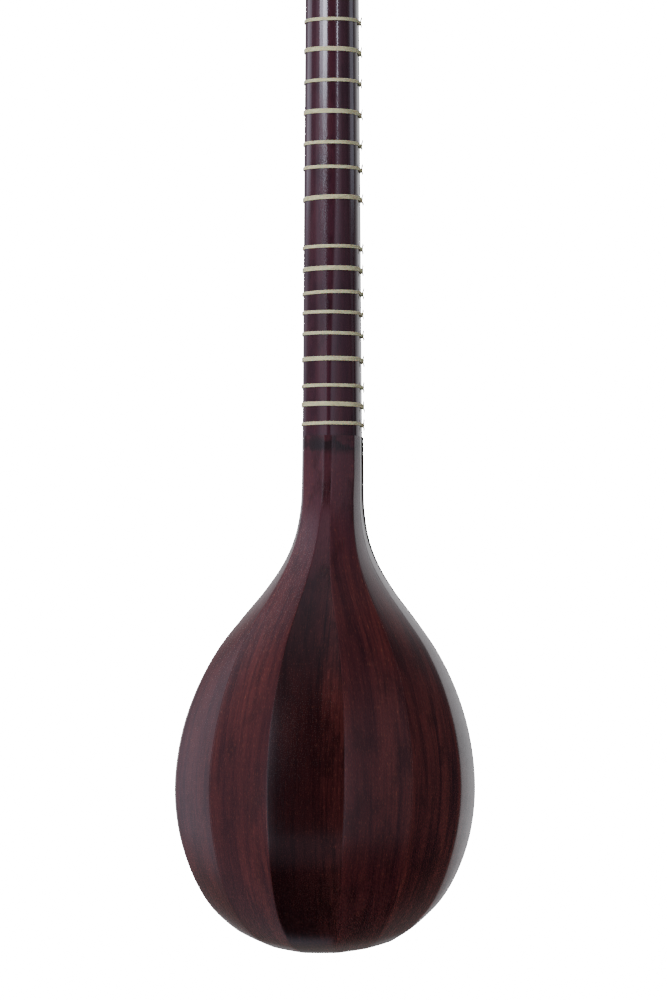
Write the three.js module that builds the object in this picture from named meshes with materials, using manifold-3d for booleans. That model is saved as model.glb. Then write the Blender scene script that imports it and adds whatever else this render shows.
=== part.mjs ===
import * as THREE from 'three';
import { mergeVertices } from 'three/addons/utils/BufferGeometryUtils.js';
import Module from 'manifold-3d';

const wasm = await Module();
wasm.setup();

// Millimetres. X runs across the instrument, with the bass side at -X.
// Y runs from the strings at -Y to the back of the bowl at +Y, and is zero on the rim of the bowl.
// Z runs up the neck, here from the lowest point of the bowl, until the last lines move the origin.

// Driving sizes along the instrument
const scaleLength = 645;
const bridgePlace = 63.9;
const lastFretRise = 6.12;
const headLength = 125;
const hangerRise = 20;

// Bowl
const bowlHalfWidth = 77;
const bowlDepth = 131;
const ribThickness = 3;
const ribGap = 0.3;
const boardThickness = 3;
const braceHeight = 8;
const braceThickness = 6;
const bracePlace = 112;
const tailRimRise = 5.5;

// Neck and head
const neckWidthAtJoint = 30;
const neckWidthAtNut = 23.5;
const neckDepthAtJoint = 26;
const neckDepthAtNut = 22;
const plateThickness = 3;
const headTipLength = 4;
const fitGap = 0.3;
const blockGap = 0.45;

// Nut and bridge
const nutThickness = 4.5;
const nutHeight = 2;
const bridgeLength = 58;
const bridgeHeight = 11;
const bridgeFootThickness = 6;
const bridgeTopThickness = 1;
const bridgeFootLength = 11;

// Gut frets
const gutDiameter = 0.55;
const fretClearance = 0.15;
const knotLength = 2.6;
const knotHeight = 1.5;
const knotPlace = 3;

// Pegs
const pegShaftDiameter = 9;
const pegTipDiameter = 7.4;
const pegExposure = 9;
const pegTipReach = 3;
const pegKnobLength = 27;
const pegKnobDiameter = 21;
const pegClearance = 0.1;
const frontPegLowPlace = 40;
const frontPegHighPlace = 84;
const sidePegLowPlace = 62;
const sidePegHighPlace = 106;
const frontPegLowOffset = 4.5;
const frontPegHighOffset = 0;
const cutOverrun = 2;

// Strings, first to fourth
const stringDiameters = [0.2, 0.22, 0.18, 0.36];
const stringPlacesAtNut = [8, 0, -7.4, -9.4];
const stringPlacesAtBridge = [13.5, 3.5, -9.5, -12.5];
const stringClearance = 0.1;
const stringStandOff = 1.2;
const stringEdgeClearance = 0.35;
const windingTurns = 3;
const windingGap = 0.45;

// String holder at the tail
const holderWidth = 34;
const holderLength = 8;
const holderHeight = 4.5;
const holderPlace = 11;

// Sound holes in the board
const soundHoleDiameter = 2.8;
const soundHoleSpacing = 9;
const soundHolePlace = 150;

// Counts of faces
const bowlSteps = 24;
const tailCrowding = 1.25;
const tailBlockSteps = 5;
const neckBlockSteps = 3;
const ribFaces = 4;
const ridgeSteps = 10;
const pegFaces = 18;
const holeFaces = 24;
const wireSides = 6;
const stepsPerLoop = 24;

// Cross sections of the bowl from the tail to the neck, as shares of the sizes above.
// Each row holds the height at the rim, the height at the back, the half width at the rim,
// the widest half width, the depth, and how far the seams have drawn in towards the neck.
const bowlSectionShares = [
  [0.022, 0.009, 0.12, 0.139, 0.17, 0],
  [0.04, 0.003, 0.345, 0.408, 0.43, 0],
  [0.055, 0.012, 0.452, 0.515, 0.61, 0],
  [0.077, 0.032, 0.567, 0.628, 0.755, 0],
  [0.116, 0.076, 0.708, 0.77, 0.885, 0],
  [0.162, 0.135, 0.811, 0.874, 0.96, 0],
  [0.214, 0.207, 0.882, 0.949, 0.995, 0],
  [0.271, 0.271, 0.917, 0.989, 1, 0],
  [0.331, 0.331, 0.924, 0.998, 0.99, 0],
  [0.395, 0.395, 0.907, 0.976, 0.955, 0],
  [0.459, 0.459, 0.862, 0.925, 0.905, 0],
  [0.526, 0.526, 0.783, 0.837, 0.835, 0.05],
  [0.59, 0.59, 0.676, 0.716, 0.755, 0.1],
  [0.647, 0.647, 0.542, 0.566, 0.67, 0.2],
  [0.699, 0.699, 0.408, 0.423, 0.565, 0.35],
  [0.752, 0.752, 0.299, 0.306, 0.45, 0.55],
  [0.805, 0.805, 0.232, 0.236, 0.345, 0.75],
  [0.865, 0.865, 0.202, 0.203, 0.26, 0.9],
  [0.932, 0.932, 0.198, 0.198, 0.215, 1],
  [1, 1, 0.196, 0.196, 0.1985, 1],
];

// Seams from the rim to the middle of the back, as shares of half width and depth
const bowlSeamWidthShares = [0, 0.996, 0.939, 0.662, 0.252];
const bowlSeamDepthShares = [0, 0.29, 0.545, 0.81, 0.992];
const neckSeamWidthShares = [1, 1, 0.985, 0.853, 0.137];
const neckSeamDepthShares = [0, 0.17, 0.37, 0.715, 0.998];

// Rise of each rib's middle over its chord, from the rim to the middle of the back
const bowlCrownShares = [0.02, 0.02, 0.02, 0.02, 0.02];
const neckCrownShares = [0, 0.01, 0.01, 0.02, 0.005];

// Places of the frets from the bridge, as shares of the scale length
const fretPlaceShares = [
  0.9493, 0.925, 0.8888, 0.8438, 0.8217, 0.79, 0.75, 0.7236, 0.6929,
  0.6666, 0.6425, 0.6187, 0.5937, 0.569, 0.5441, 0.5245, 0.5003, 0.4612,
  0.4437, 0.4248, 0.4089, 0.3922, 0.3719, 0.3506, 0.3358, 0.3205,
];

// Turns of gut in each fret
const fretTurns = [
  3, 3, 4, 3, 3, 3, 4, 3, 3, 4, 3, 4, 3, 4, 3, 3, 4, 3, 4, 3, 3, 3, 4, 3, 4, 3,
];

// The neck starts below the last fret, which sets the length of the bowl
const bowlLength = bridgePlace + fretPlaceShares.at(-1) * scaleLength - lastFretRise;

// Half of the neck's outline at the bowl, from its side to the middle of the back, as shares
// of half width and depth. It has a ridge in the middle and a corner over each side.
const jointOutlineShares = [
  [1, 0.3],
  [0.972, 0.44],
  [0.925, 0.58],
  [0.853, 0.715],
  [0.5, 0.86],
  [0.137, 0.995],
  [0, 1],
];

// The upper neck's back is nearly an ellipse, which has a power of 2, on straight sides
const neckFaces = 2 * (jointOutlineShares.length - 1);
const backPower = 2.1;
const neckSideShare = 0.3;
const ridgeLength = 150;

// Turned outline of a peg's knob from the shaft outwards, as shares of its length and radius
const knobShares = [
  [0, 0.5],
  [0.06, 0.6],
  [0.12, 0.52],
  [0.24, 0.5],
  [0.42, 0.8],
  [0.6, 1],
  [0.76, 0.97],
  [0.88, 0.72],
  [0.92, 0.36],
  [0.97, 0.33],
  [1, 0.2],
];

const nutPlace = bridgePlace + scaleLength;
const headTop = nutPlace + headLength;

const lacquered = (color, roughness) =>
  new THREE.MeshStandardMaterial({ color, roughness, metalness: 0 });
const darkWalnut = lacquered(0x3c1c1e, 0.35);
const redWalnut = lacquered(0x4a2426, 0.35);
const mulberry = lacquered(0x9a6b3c, 0.5);
const plainWood = lacquered(0xb08a5a, 0.7);
const ebony = lacquered(0x1d1512, 0.35);
const bone = lacquered(0xe6dcc0, 0.45);
const gut = lacquered(0xd8cba6, 0.5);
const steel = new THREE.MeshStandardMaterial({ color: 0xc9ccd0, roughness: 0.25, metalness: 1 });
const bronze = new THREE.MeshStandardMaterial({ color: 0xb98a4a, roughness: 0.3, metalness: 1 });
const stringMaterials = [steel, bronze, steel, bronze];

// A smooth curve through evenly spaced values, for a place given as a number of steps
function along(values, place) {
  const last = values.length - 1;
  const step = Math.min(Math.floor(place), last - 1);
  const t = place - step;
  const before = values[Math.max(step - 1, 0)];
  const after = values[Math.min(step + 2, last)];
  const [a, b] = [values[step], values[step + 1]];
  const [slopeA, slopeB] = [(b - before) / 2, (after - a) / 2];
  const rise = 3 * (b - a) - 2 * slopeA - slopeB;
  const turn = 2 * (a - b) + slopeA + slopeB;
  return a + t * (slopeA + t * (rise + t * turn));
}

// A closed solid through rings of points, flat at both ends
function loft(rings) {
  const count = rings[0].length;
  const points = rings.flat();
  const faces = [];
  for (let r = 0; r + 1 < rings.length; r += 1) {
    for (let i = 0; i < count; i += 1) {
      const a = r * count + i;
      const b = r * count + ((i + 1) % count);
      faces.push(a, b, a + count, b, b + count, a + count);
    }
  }
  const lastStart = (rings.length - 1) * count;
  for (const [x, y, z] of capFaces(rings[0])) faces.push(x, z, y);
  for (const [x, y, z] of capFaces(rings.at(-1))) {
    faces.push(lastStart + x, lastStart + y, lastStart + z);
  }
  return facingOut(points, faces);
}

// Triangles over one ring, turning the same way as the ring
function capFaces(ring) {
  const normal = new THREE.Vector3();
  ring.forEach((p, i) => normal.add(p.clone().cross(ring[(i + 1) % ring.length])));
  const size = normal.clone().set(Math.abs(normal.x), Math.abs(normal.y), Math.abs(normal.z));
  const largest = Math.max(size.x, size.y, size.z);
  const flat = ring.map((p) => {
    if (largest === size.z) return new THREE.Vector2(p.x, p.y);
    return largest === size.y ? new THREE.Vector2(p.z, p.x) : new THREE.Vector2(p.y, p.z);
  });
  const backwards = THREE.ShapeUtils.isClockWise(flat);
  const triangles = THREE.ShapeUtils.triangulateShape(flat, []);
  return backwards ? triangles.map(([a, b, c]) => [a, c, b]) : triangles;
}

function facingOut(points, faces) {
  let volume = 0;
  for (let i = 0; i < faces.length; i += 3) {
    const [a, b, c] = [points[faces[i]], points[faces[i + 1]], points[faces[i + 2]]];
    volume += a.dot(b.clone().cross(c));
  }
  if (volume < 0) faces.reverse();
  const geometry = new THREE.BufferGeometry().setFromPoints(points);
  geometry.setIndex(faces);
  geometry.computeVertexNormals();
  return geometry;
}

function solidOf(geometry) {
  const bare = geometry.clone();
  bare.deleteAttribute('normal');
  bare.deleteAttribute('uv');
  const merged = mergeVertices(bare);
  return new wasm.Manifold(new wasm.Mesh({
    numProp: 3,
    vertProperties: new Float32Array(merged.attributes.position.array),
    triVerts: new Uint32Array(merged.index.array),
  }));
}

function geometryOf(solid) {
  const mesh = solid.getMesh();
  const geometry = new THREE.BufferGeometry();
  geometry.setAttribute('position', new THREE.BufferAttribute(mesh.vertProperties, 3));
  geometry.setIndex(new THREE.BufferAttribute(mesh.triVerts, 1));
  geometry.computeVertexNormals();
  return geometry;
}

function piece(name, geometry, material, place = [0, 0, 0], turn = [0, 0, 0]) {
  const mesh = new THREE.Mesh(geometry, material.clone());
  mesh.name = name;
  mesh.position.set(...place);
  mesh.rotation.set(...turn);
  return mesh;
}

// A flat plate in the XZ plane, from one Y towards the front by its thickness
function plate(name, shape, thickness, backPlace, material) {
  const geometry = new THREE.ExtrudeGeometry(shape, { depth: thickness, bevelEnabled: false });
  geometry.rotateX(Math.PI / 2);
  return piece(name, geometry, material, [0, backPlace, 0]);
}

const seamCount = bowlSeamWidthShares.length;
const ribCount = 2 * seamCount - 1;

// Sizes of the bowl's cross section at one place between the tail and the neck
function bowlSection(place) {
  const [rim, back, rimHalf, half, depth, draw] = bowlSectionShares[0].map((_, column) =>
    along(bowlSectionShares.map((row) => row[column]), place));
  return {
    rimHeight: rim * bowlLength,
    backHeight: back * bowlLength,
    rimHalf: rimHalf * bowlHalfWidth,
    half: half * bowlHalfWidth,
    depth: depth * bowlDepth,
    draw,
  };
}

// A seam of the bowl at one section, as width and depth. Seam 0 is the rim on the bass side.
function seamPoint(section, seam) {
  const side = seam < seamCount ? -1 : 1;
  const index = seam < seamCount ? seam : 2 * seamCount - 1 - seam;
  const mix = (bowl, neck) => bowl[index] + (neck[index] - bowl[index]) * section.draw;
  const wide = index === 0
    ? section.rimHalf
    : section.half * mix(bowlSeamWidthShares, neckSeamWidthShares);
  const deep = section.depth * mix(bowlSeamDepthShares, neckSeamDepthShares);
  return new THREE.Vector2(side * wide, deep);
}

// A point of the bowl's outside, at a section and a share of the way across one rib
function bowlPoint(place, rib, share) {
  const section = bowlSection(place);
  const from = seamPoint(section, rib);
  const to = seamPoint(section, rib + 1);
  const chord = to.clone().sub(from);
  const index = Math.min(rib, ribCount - 1 - rib);
  const crown = bowlCrownShares[index]
    + (neckCrownShares[index] - bowlCrownShares[index]) * section.draw;
  const out = new THREE.Vector2(-chord.y, chord.x).multiplyScalar(4 * crown * share * (1 - share));
  const flat = from.clone().addScaledVector(chord, share).add(out);
  const deepShare = flat.y / section.depth;
  const height = section.rimHeight + (section.backHeight - section.rimHeight) * deepShare;
  return new THREE.Vector3(flat.x, flat.y, height);
}

const lastPlace = bowlSectionShares.length - 1;
const probeShare = 0.02;

// The sections that the staves and blocks are made through, closer together at the tail
const bowlPlaces = Array.from({ length: bowlSteps + 1 }, (_, i) =>
  lastPlace * (i / bowlSteps) ** tailCrowding);

// The direction into the bowl at a point of its outside. It stays level at the neck's end
// and in the rim's plane at the rim, so that both seats are flat.
function inward(place, rib, share) {
  const [low, high] = [Math.max(place - probeShare, 0), Math.min(place + probeShare, lastPlace)];
  const up = bowlPoint(high, rib, share).sub(bowlPoint(low, rib, share));
  const [left, right] = [Math.max(share - probeShare, 0), Math.min(share + probeShare, 1)];
  const across = bowlPoint(place, rib, right).sub(bowlPoint(place, rib, left));
  const normal = across.cross(up).normalize();
  if (place === lastPlace) normal.z = 0;
  return normal.normalize();
}

function seamInward(place, seam) {
  const sides = [];
  if (seam > 0) sides.push(inward(place, seam - 1, 1));
  if (seam < ribCount) sides.push(inward(place, seam, 0));
  const normal = sides.reduce((sum, side) => sum.add(side), new THREE.Vector3());
  if (seam === 0 || seam === ribCount) normal.y = 0;
  if (place === lastPlace) normal.z = 0;
  return normal.normalize();
}

// Inner side of the bowl at a seam, at a distance from the outside
function innerSeam(place, seam, distance) {
  const outer = seam < ribCount ? bowlPoint(place, seam, 0) : bowlPoint(place, ribCount - 1, 1);
  return outer.addScaledVector(seamInward(place, seam), distance);
}

function ribRing(place, rib) {
  const outer = [];
  for (let i = 0; i <= ribFaces; i += 1) outer.push(bowlPoint(place, rib, i / ribFaces));
  const middle = bowlPoint(place, rib, 0.5)
    .addScaledVector(inward(place, rib, 0.5), ribThickness);
  const innerFrom = innerSeam(place, rib, ribThickness);
  const innerTo = innerSeam(place, rib + 1, ribThickness);
  const across = outer[ribFaces].clone().sub(outer[0]).normalize();
  const inset = across.multiplyScalar(ribGap / 2);
  if (rib > 0) [outer[0], innerFrom].forEach((p) => p.add(inset));
  if (rib < ribCount - 1) [outer[ribFaces], innerTo].forEach((p) => p.sub(inset));
  return [...outer, innerTo, middle, innerFrom];
}

function ribName(rib) {
  const fromMiddle = rib - (seamCount - 1);
  if (fromMiddle === 0) return 'rib_center';
  return fromMiddle < 0 ? `rib_bass_${-fromMiddle}` : `rib_treble_${fromMiddle}`;
}

// A rib on the treble side is the mirror image of its bass one
function makeRib(rib) {
  const mirrored = rib >= seamCount;
  const rings = bowlPlaces.map((place) => ribRing(place, mirrored ? ribCount - 1 - rib : rib));
  const side = mirrored ? -1 : 1;
  rings.flat().forEach((p) => p.setX(side * p.x));
  return piece(ribName(rib), loft(rings), rib % 2 ? darkWalnut : redWalnut);
}

// A block that fills the bowl between two sections, seated on the ribs' inner sides
function makeBlock(name, places) {
  const rings = [];
  for (const place of places) {
    const ring = [];
    for (let seam = 0; seam <= ribCount; seam += 1) {
      ring.push(innerSeam(place, seam, ribThickness + blockGap));
    }
    rings.push(ring);
  }
  return piece(name, loft(rings), plainWood);
}

// The end clasp fills the opening that the ribs leave at the tail
function makeTailClasp() {
  const opening = [];
  for (let seam = 0; seam <= ribCount; seam += 1) opening.push(innerSeam(0, seam, 0));
  const middle = opening.reduce((sum, p) => sum.add(p), new THREE.Vector3());
  middle.divideScalar(opening.length);
  const opened = opening[0].distanceTo(opening[ribCount]) / 2;
  const ring = (size, drop) => opening.map((p) => {
    const moved = p.clone().sub(middle).multiplyScalar(size).add(middle);
    moved.z -= drop;
    moved.y = Math.max(moved.y, 0);
    return moved;
  });
  const seated = 1 - fitGap / opened;
  const taperShare = 0.8;
  const domeShares = [[0, 1], [0.4, 0.9], [0.65, 0.6]];
  const rings = [ring(seated * taperShare, -ribThickness)];
  for (const [dropShare, sizeShare] of domeShares) {
    rings.push(ring(seated * sizeShare, dropShare * ribThickness));
  }
  return piece('tail_clasp', loft(rings), ebony);
}

function makeSoundboard() {
  const outline = bowlPlaces.map((place) => {
    const rim = bowlPoint(place, 0, 0);
    return new THREE.Vector2(rim.x, rim.z);
  });
  const right = outline.map((p) => new THREE.Vector2(-p.x, p.y)).reverse();
  const tail = new THREE.Vector2(0, tailRimRise);
  const shape = new THREE.Shape([...outline, ...right, tail]);
  const blank = plate('board', shape, boardThickness, 0, mulberry);
  let solid = solidOf(blank.geometry);
  for (const [across, up] of soundHoleSteps) {
    const depth = boardThickness + 2 * cutOverrun;
    const radius = soundHoleDiameter / 2;
    const hole = new THREE.CylinderGeometry(radius, radius, depth, 2 * wireSides);
    const height = soundHolePlace + up * soundHoleSpacing;
    hole.translate(across * soundHoleSpacing, -boardThickness / 2, height);
    solid = solid.subtract(solidOf(hole));
  }
  return piece('soundboard', geometryOf(solid), mulberry);
}

// A lozenge of nine sound holes, in steps of the holes' spacing
const soundHoleSteps = [
  [0, 2], [-1, 1], [1, 1], [-2, 0], [0, 0], [2, 0], [-1, -1], [1, -1], [0, -2],
];

function placeAtHeight(height) {
  let [low, high] = [0, lastPlace];
  for (let i = 0; i < 30; i += 1) {
    const middle = (low + high) / 2;
    if (bowlSection(middle).rimHeight < height) low = middle;
    else high = middle;
  }
  return low;
}

function makeBrace() {
  const rim = innerSeam(placeAtHeight(bracePlace + braceThickness), ribCount, ribThickness);
  const geometry = new THREE.BoxGeometry(2 * (rim.x - fitGap), braceHeight, braceThickness);
  return piece('soundboard_brace', geometry, plainWood, [0, braceHeight / 2, bracePlace]);
}

// Neck sizes at one height, with the head as wide and deep as the neck at the nut
function neckSection(height) {
  const share = THREE.MathUtils.clamp((height - bowlLength) / (nutPlace - bowlLength), 0, 1);
  return {
    half: THREE.MathUtils.lerp(neckWidthAtJoint, neckWidthAtNut, share) / 2,
    depth: THREE.MathUtils.lerp(neckDepthAtJoint, neckDepthAtNut, share),
    ridge: 1 - THREE.MathUtils.smoothstep(height, bowlLength, bowlLength + ridgeLength),
  };
}

// Outline of the neck's section from the treble front corner round the back to the bass one
function neckOutline(height, frontPlace) {
  const { half, depth, ridge } = neckSection(height);
  const points = [new THREE.Vector2(half, frontPlace)];
  for (let i = 0; i <= neckFaces; i += 1) {
    const angle = (Math.PI * i) / neckFaces;
    const cos = Math.cos(angle);
    const side = Math.sign(neckFaces / 2 - i);
    const wideShare = Math.abs(cos) ** (2 / backPower);
    const deepShare = Math.max(Math.sin(angle), 0) ** (2 / backPower);
    const round = [wideShare, neckSideShare + (1 - neckSideShare) * deepShare];
    const joint = jointOutlineShares[Math.min(i, neckFaces - i)];
    const [wide, deep] = round.map((share, k) => THREE.MathUtils.lerp(share, joint[k], ridge));
    points.push(new THREE.Vector2(side * half * wide, depth * deep));
  }
  points.push(new THREE.Vector2(-half, frontPlace));
  return points;
}

// The same outline, moved outwards by a distance
function grownOutline(points, distance) {
  return points.map((p, i) => {
    const before = p.clone().sub(points.at(i - 1)).normalize();
    const after = points[(i + 1) % points.length].clone().sub(p).normalize();
    const out = new THREE.Vector2(before.y + after.y, -before.x - after.x).normalize();
    const slant = Math.max(out.x * before.y - out.y * before.x, Math.SQRT1_2);
    return p.clone().addScaledVector(out, distance / slant);
  });
}

const pegPlaces = {
  peg_front_low: { side: false, across: frontPegLowOffset, up: nutPlace + frontPegLowPlace },
  peg_front_high: { side: false, across: frontPegHighOffset, up: nutPlace + frontPegHighPlace },
  peg_side_low: { side: true, across: neckDepthAtNut / 2, up: nutPlace + sidePegLowPlace },
  peg_side_high: { side: true, across: neckDepthAtNut / 2, up: nutPlace + sidePegHighPlace },
};

// A peg's frame has its axis along Y, zero where the shaft leaves the head, knob at +Y
function pegFrame({ side, across, up }) {
  return side
    ? { place: [-neckWidthAtNut / 2, across, up], turn: [0, 0, Math.PI / 2] }
    : { place: [across, -plateThickness, up], turn: [0, 0, Math.PI] };
}

function pegLength(peg) {
  return peg.side ? neckWidthAtNut : neckDepthAtNut + plateThickness;
}

// Radius of a peg's tapered shaft at one place on its axis
function shaftRadius(peg, place) {
  const tip = -pegLength(peg) - pegTipReach;
  const share = (place - tip) / (pegExposure - tip);
  return THREE.MathUtils.lerp(pegTipDiameter, pegShaftDiameter, share) / 2;
}

function pegHole(peg) {
  const reach = pegLength(peg) + cutOverrun;
  const cover = Math.cos(Math.PI / holeFaces);
  const radiusAt = (place) => (shaftRadius(peg, place) + pegClearance) / cover;
  const geometry = new THREE.CylinderGeometry(
    radiusAt(cutOverrun), radiusAt(-reach), reach + cutOverrun, holeFaces,
  );
  geometry.translate(0, (cutOverrun - reach) / 2, 0);
  const { place, turn } = pegFrame(peg);
  const placed = piece('hole', geometry, ebony, place, turn);
  placed.updateMatrix();
  return solidOf(geometry.applyMatrix4(placed.matrix));
}

function makeNeck() {
  const heights = [];
  for (let i = 0; i <= ridgeSteps; i += 1) {
    heights.push(bowlLength + (ridgeLength * i) / ridgeSteps);
  }
  heights.push(nutPlace, headTop - headTipLength);
  const rings = heights.map((z) => neckOutline(z, 0).map((p) => new THREE.Vector3(p.x, p.y, z)));
  const tipShares = [[0.6, 0.96], [1, 0.84]];
  const full = rings.at(-1);
  for (const [riseShare, sizeShare] of tipShares) {
    rings.push(full.map((p) => new THREE.Vector3(
      p.x * sizeShare,
      p.y * sizeShare,
      p.z + headTipLength * riseShare,
    )));
  }
  let solid = solidOf(loft(rings));
  for (const peg of Object.values(pegPlaces)) solid = solid.subtract(pegHole(peg));
  return piece('neck', geometryOf(solid), darkWalnut);
}

function makeFingerboard() {
  const top = nutPlace - nutThickness / 2;
  const [low, high] = [neckSection(bowlLength).half, neckSection(top).half];
  const shape = new THREE.Shape([
    new THREE.Vector2(-low, bowlLength),
    new THREE.Vector2(low, bowlLength),
    new THREE.Vector2(high, top),
    new THREE.Vector2(-high, top),
  ]);
  return plate('fingerboard', shape, plateThickness, 0, ebony);
}

function makeHeadPlate() {
  const half = neckWidthAtNut / 2;
  const [low, high] = [nutPlace + nutThickness / 2, headTop - headTipLength];
  const shape = new THREE.Shape([
    new THREE.Vector2(-half, low),
    new THREE.Vector2(half, low),
    new THREE.Vector2(half, high),
    new THREE.Vector2(-half, high),
  ]);
  const blank = plate('head_plate', shape, plateThickness, 0, ebony);
  let solid = solidOf(blank.geometry);
  for (const peg of Object.values(pegPlaces)) {
    if (!peg.side) solid = solid.subtract(pegHole(peg));
  }
  return piece('head_plate', geometryOf(solid), ebony);
}

function makeNut() {
  const height = plateThickness + nutHeight;
  const geometry = new THREE.BoxGeometry(neckWidthAtNut, height, nutThickness);
  return piece('nut', geometry, bone, [0, -height / 2, nutPlace]);
}

// The bridge stands on two feet and narrows to its top, where the strings cross
function makeBridge() {
  const half = bridgeLength / 2;
  const waistShare = 0.72;
  const archShare = 0.45;
  const shape = new THREE.Shape([
    new THREE.Vector2(-half, 0),
    new THREE.Vector2(-half + bridgeFootLength, 0),
  ]);
  shape.quadraticCurveTo(-half + bridgeFootLength, bridgeHeight * archShare, 0,
    bridgeHeight * archShare);
  shape.quadraticCurveTo(half - bridgeFootLength, bridgeHeight * archShare,
    half - bridgeFootLength, 0);
  shape.lineTo(half, 0);
  shape.lineTo(half * waistShare, bridgeHeight);
  shape.lineTo(-half * waistShare, bridgeHeight);
  const geometry = new THREE.ExtrudeGeometry(shape, {
    depth: bridgeFootThickness, bevelEnabled: false, curveSegments: wireSides,
  });
  geometry.translate(0, 0, -bridgeFootThickness / 2);
  const places = geometry.attributes.position;
  for (let i = 0; i < places.count; i += 1) {
    const share = places.getY(i) / bridgeHeight;
    const narrowing = THREE.MathUtils.lerp(1, bridgeTopThickness / bridgeFootThickness, share);
    places.setZ(i, places.getZ(i) * narrowing);
  }
  geometry.rotateX(Math.PI);
  return piece('bridge', geometry, ebony, [0, -boardThickness, bridgePlace]);
}

function makeStringHolder() {
  const geometry = new THREE.BoxGeometry(holderWidth, holderHeight, holderLength);
  const place = [0, -boardThickness - holderHeight / 2, holderPlace + holderLength / 2];
  return piece('string_holder', geometry, bone, place);
}

// A gut fret is a band of turns side by side round neck and fingerboard, with its knot
function makeFret(index) {
  const height = bridgePlace + fretPlaceShares[index] * scaleLength;
  const width = fretTurns[index] * gutDiameter;
  const outline = neckOutline(height, -plateThickness);
  const inner = grownOutline(outline, fretClearance);
  const outer = grownOutline(outline, fretClearance + gutDiameter);
  const corners = [[inner, -width / 2], [outer, -width / 2], [outer, width / 2], [inner, width / 2]];
  const points = corners.flatMap(([ring, z]) => ring.map((p) => new THREE.Vector3(p.x, p.y, z)));
  const count = outline.length;
  const faces = [];
  for (let c = 0; c < corners.length; c += 1) {
    const next = ((c + 1) % corners.length) * count;
    for (let i = 0; i < count; i += 1) {
      const j = (i + 1) % count;
      faces.push(c * count + i, c * count + j, next + i, c * count + j, next + j, next + i);
    }
  }
  const band = solidOf(facingOut(points, faces));
  const knot = new THREE.IcosahedronGeometry(1, 1);
  knot.scale(knotHeight / 2, knotLength / 2, width / 2 + gutDiameter);
  knot.translate(-neckSection(height).half - fretClearance - knotHeight / 2, knotPlace, 0);
  const name = `fret_${String(index + 1).padStart(2, '0')}`;
  return piece(name, geometryOf(band.add(solidOf(knot))), gut, [0, 0, height]);
}

function makePeg(name) {
  const peg = pegPlaces[name];
  const tip = -pegLength(peg) - pegTipReach;
  const profile = [
    new THREE.Vector2(0, tip),
    new THREE.Vector2(shaftRadius(peg, tip), tip),
    new THREE.Vector2(shaftRadius(peg, pegExposure), pegExposure),
  ];
  for (const [lengthShare, radiusShare] of knobShares) {
    const radius = (pegKnobDiameter / 2) * radiusShare;
    profile.push(new THREE.Vector2(radius, pegExposure + pegKnobLength * lengthShare));
  }
  profile.push(new THREE.Vector2(0, pegExposure + pegKnobLength));
  const { place, turn } = pegFrame(peg);
  return piece(name, new THREE.LatheGeometry(profile, pegFaces), ebony, place, turn);
}

// A round wire along a row of points
function wire(points, diameter) {
  const rings = points.map((p, i) => {
    const from = points[Math.max(i - 1, 0)];
    const to = points[Math.min(i + 1, points.length - 1)];
    const ahead = to.clone().sub(from).normalize();
    const across = new THREE.Vector3(0, 1, 0).cross(ahead);
    if (across.lengthSq() < probeShare) across.set(1, 0, 0).cross(ahead);
    across.normalize();
    const over = ahead.clone().cross(across);
    const ring = [];
    for (let s = 0; s < wireSides; s += 1) {
      const angle = (2 * Math.PI * s) / wireSides;
      ring.push(p.clone()
        .addScaledVector(across, (diameter / 2) * Math.cos(angle))
        .addScaledVector(over, (diameter / 2) * Math.sin(angle)));
    }
    return ring;
  });
  return loft(rings);
}

const stringPegs = ['peg_front_low', 'peg_front_high', 'peg_side_low', 'peg_side_high'];

function windingRadius(index, place) {
  const diameter = stringDiameters[index];
  return shaftRadius(pegPlaces[stringPegs[index]], place) + stringClearance + diameter / 2;
}

// Turns of a string on its peg's shaft, in the peg's frame
function makeWinding(index) {
  const diameter = stringDiameters[index];
  const pitch = diameter + windingGap;
  const start = stringStandOff + diameter + windingGap;
  const points = [];
  for (let i = 0; i <= windingTurns * stepsPerLoop; i += 1) {
    const angle = (2 * Math.PI * i) / stepsPerLoop;
    const place = start + (pitch * i) / stepsPerLoop;
    const radius = windingRadius(index, start + pitch * windingTurns);
    points.push(new THREE.Vector3(radius * Math.cos(angle), place, radius * Math.sin(angle)));
  }
  let leastGap = Infinity;
  for (let i = 0; i < points.length; i += 1) {
    for (let j = i + stepsPerLoop / 2; j < points.length; j += 1) {
      leastGap = Math.min(leastGap, points[i].distanceTo(points[j]) - diameter);
    }
  }
  console.log(`winding_${index + 1}: least gap to itself ${leastGap.toFixed(3)} mm`);
  const { place, turn } = pegFrame(pegPlaces[stringPegs[index]]);
  const geometry = wire(points, diameter);
  return piece(`winding_${index + 1}`, geometry, stringMaterials[index], place, turn);
}

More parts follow.
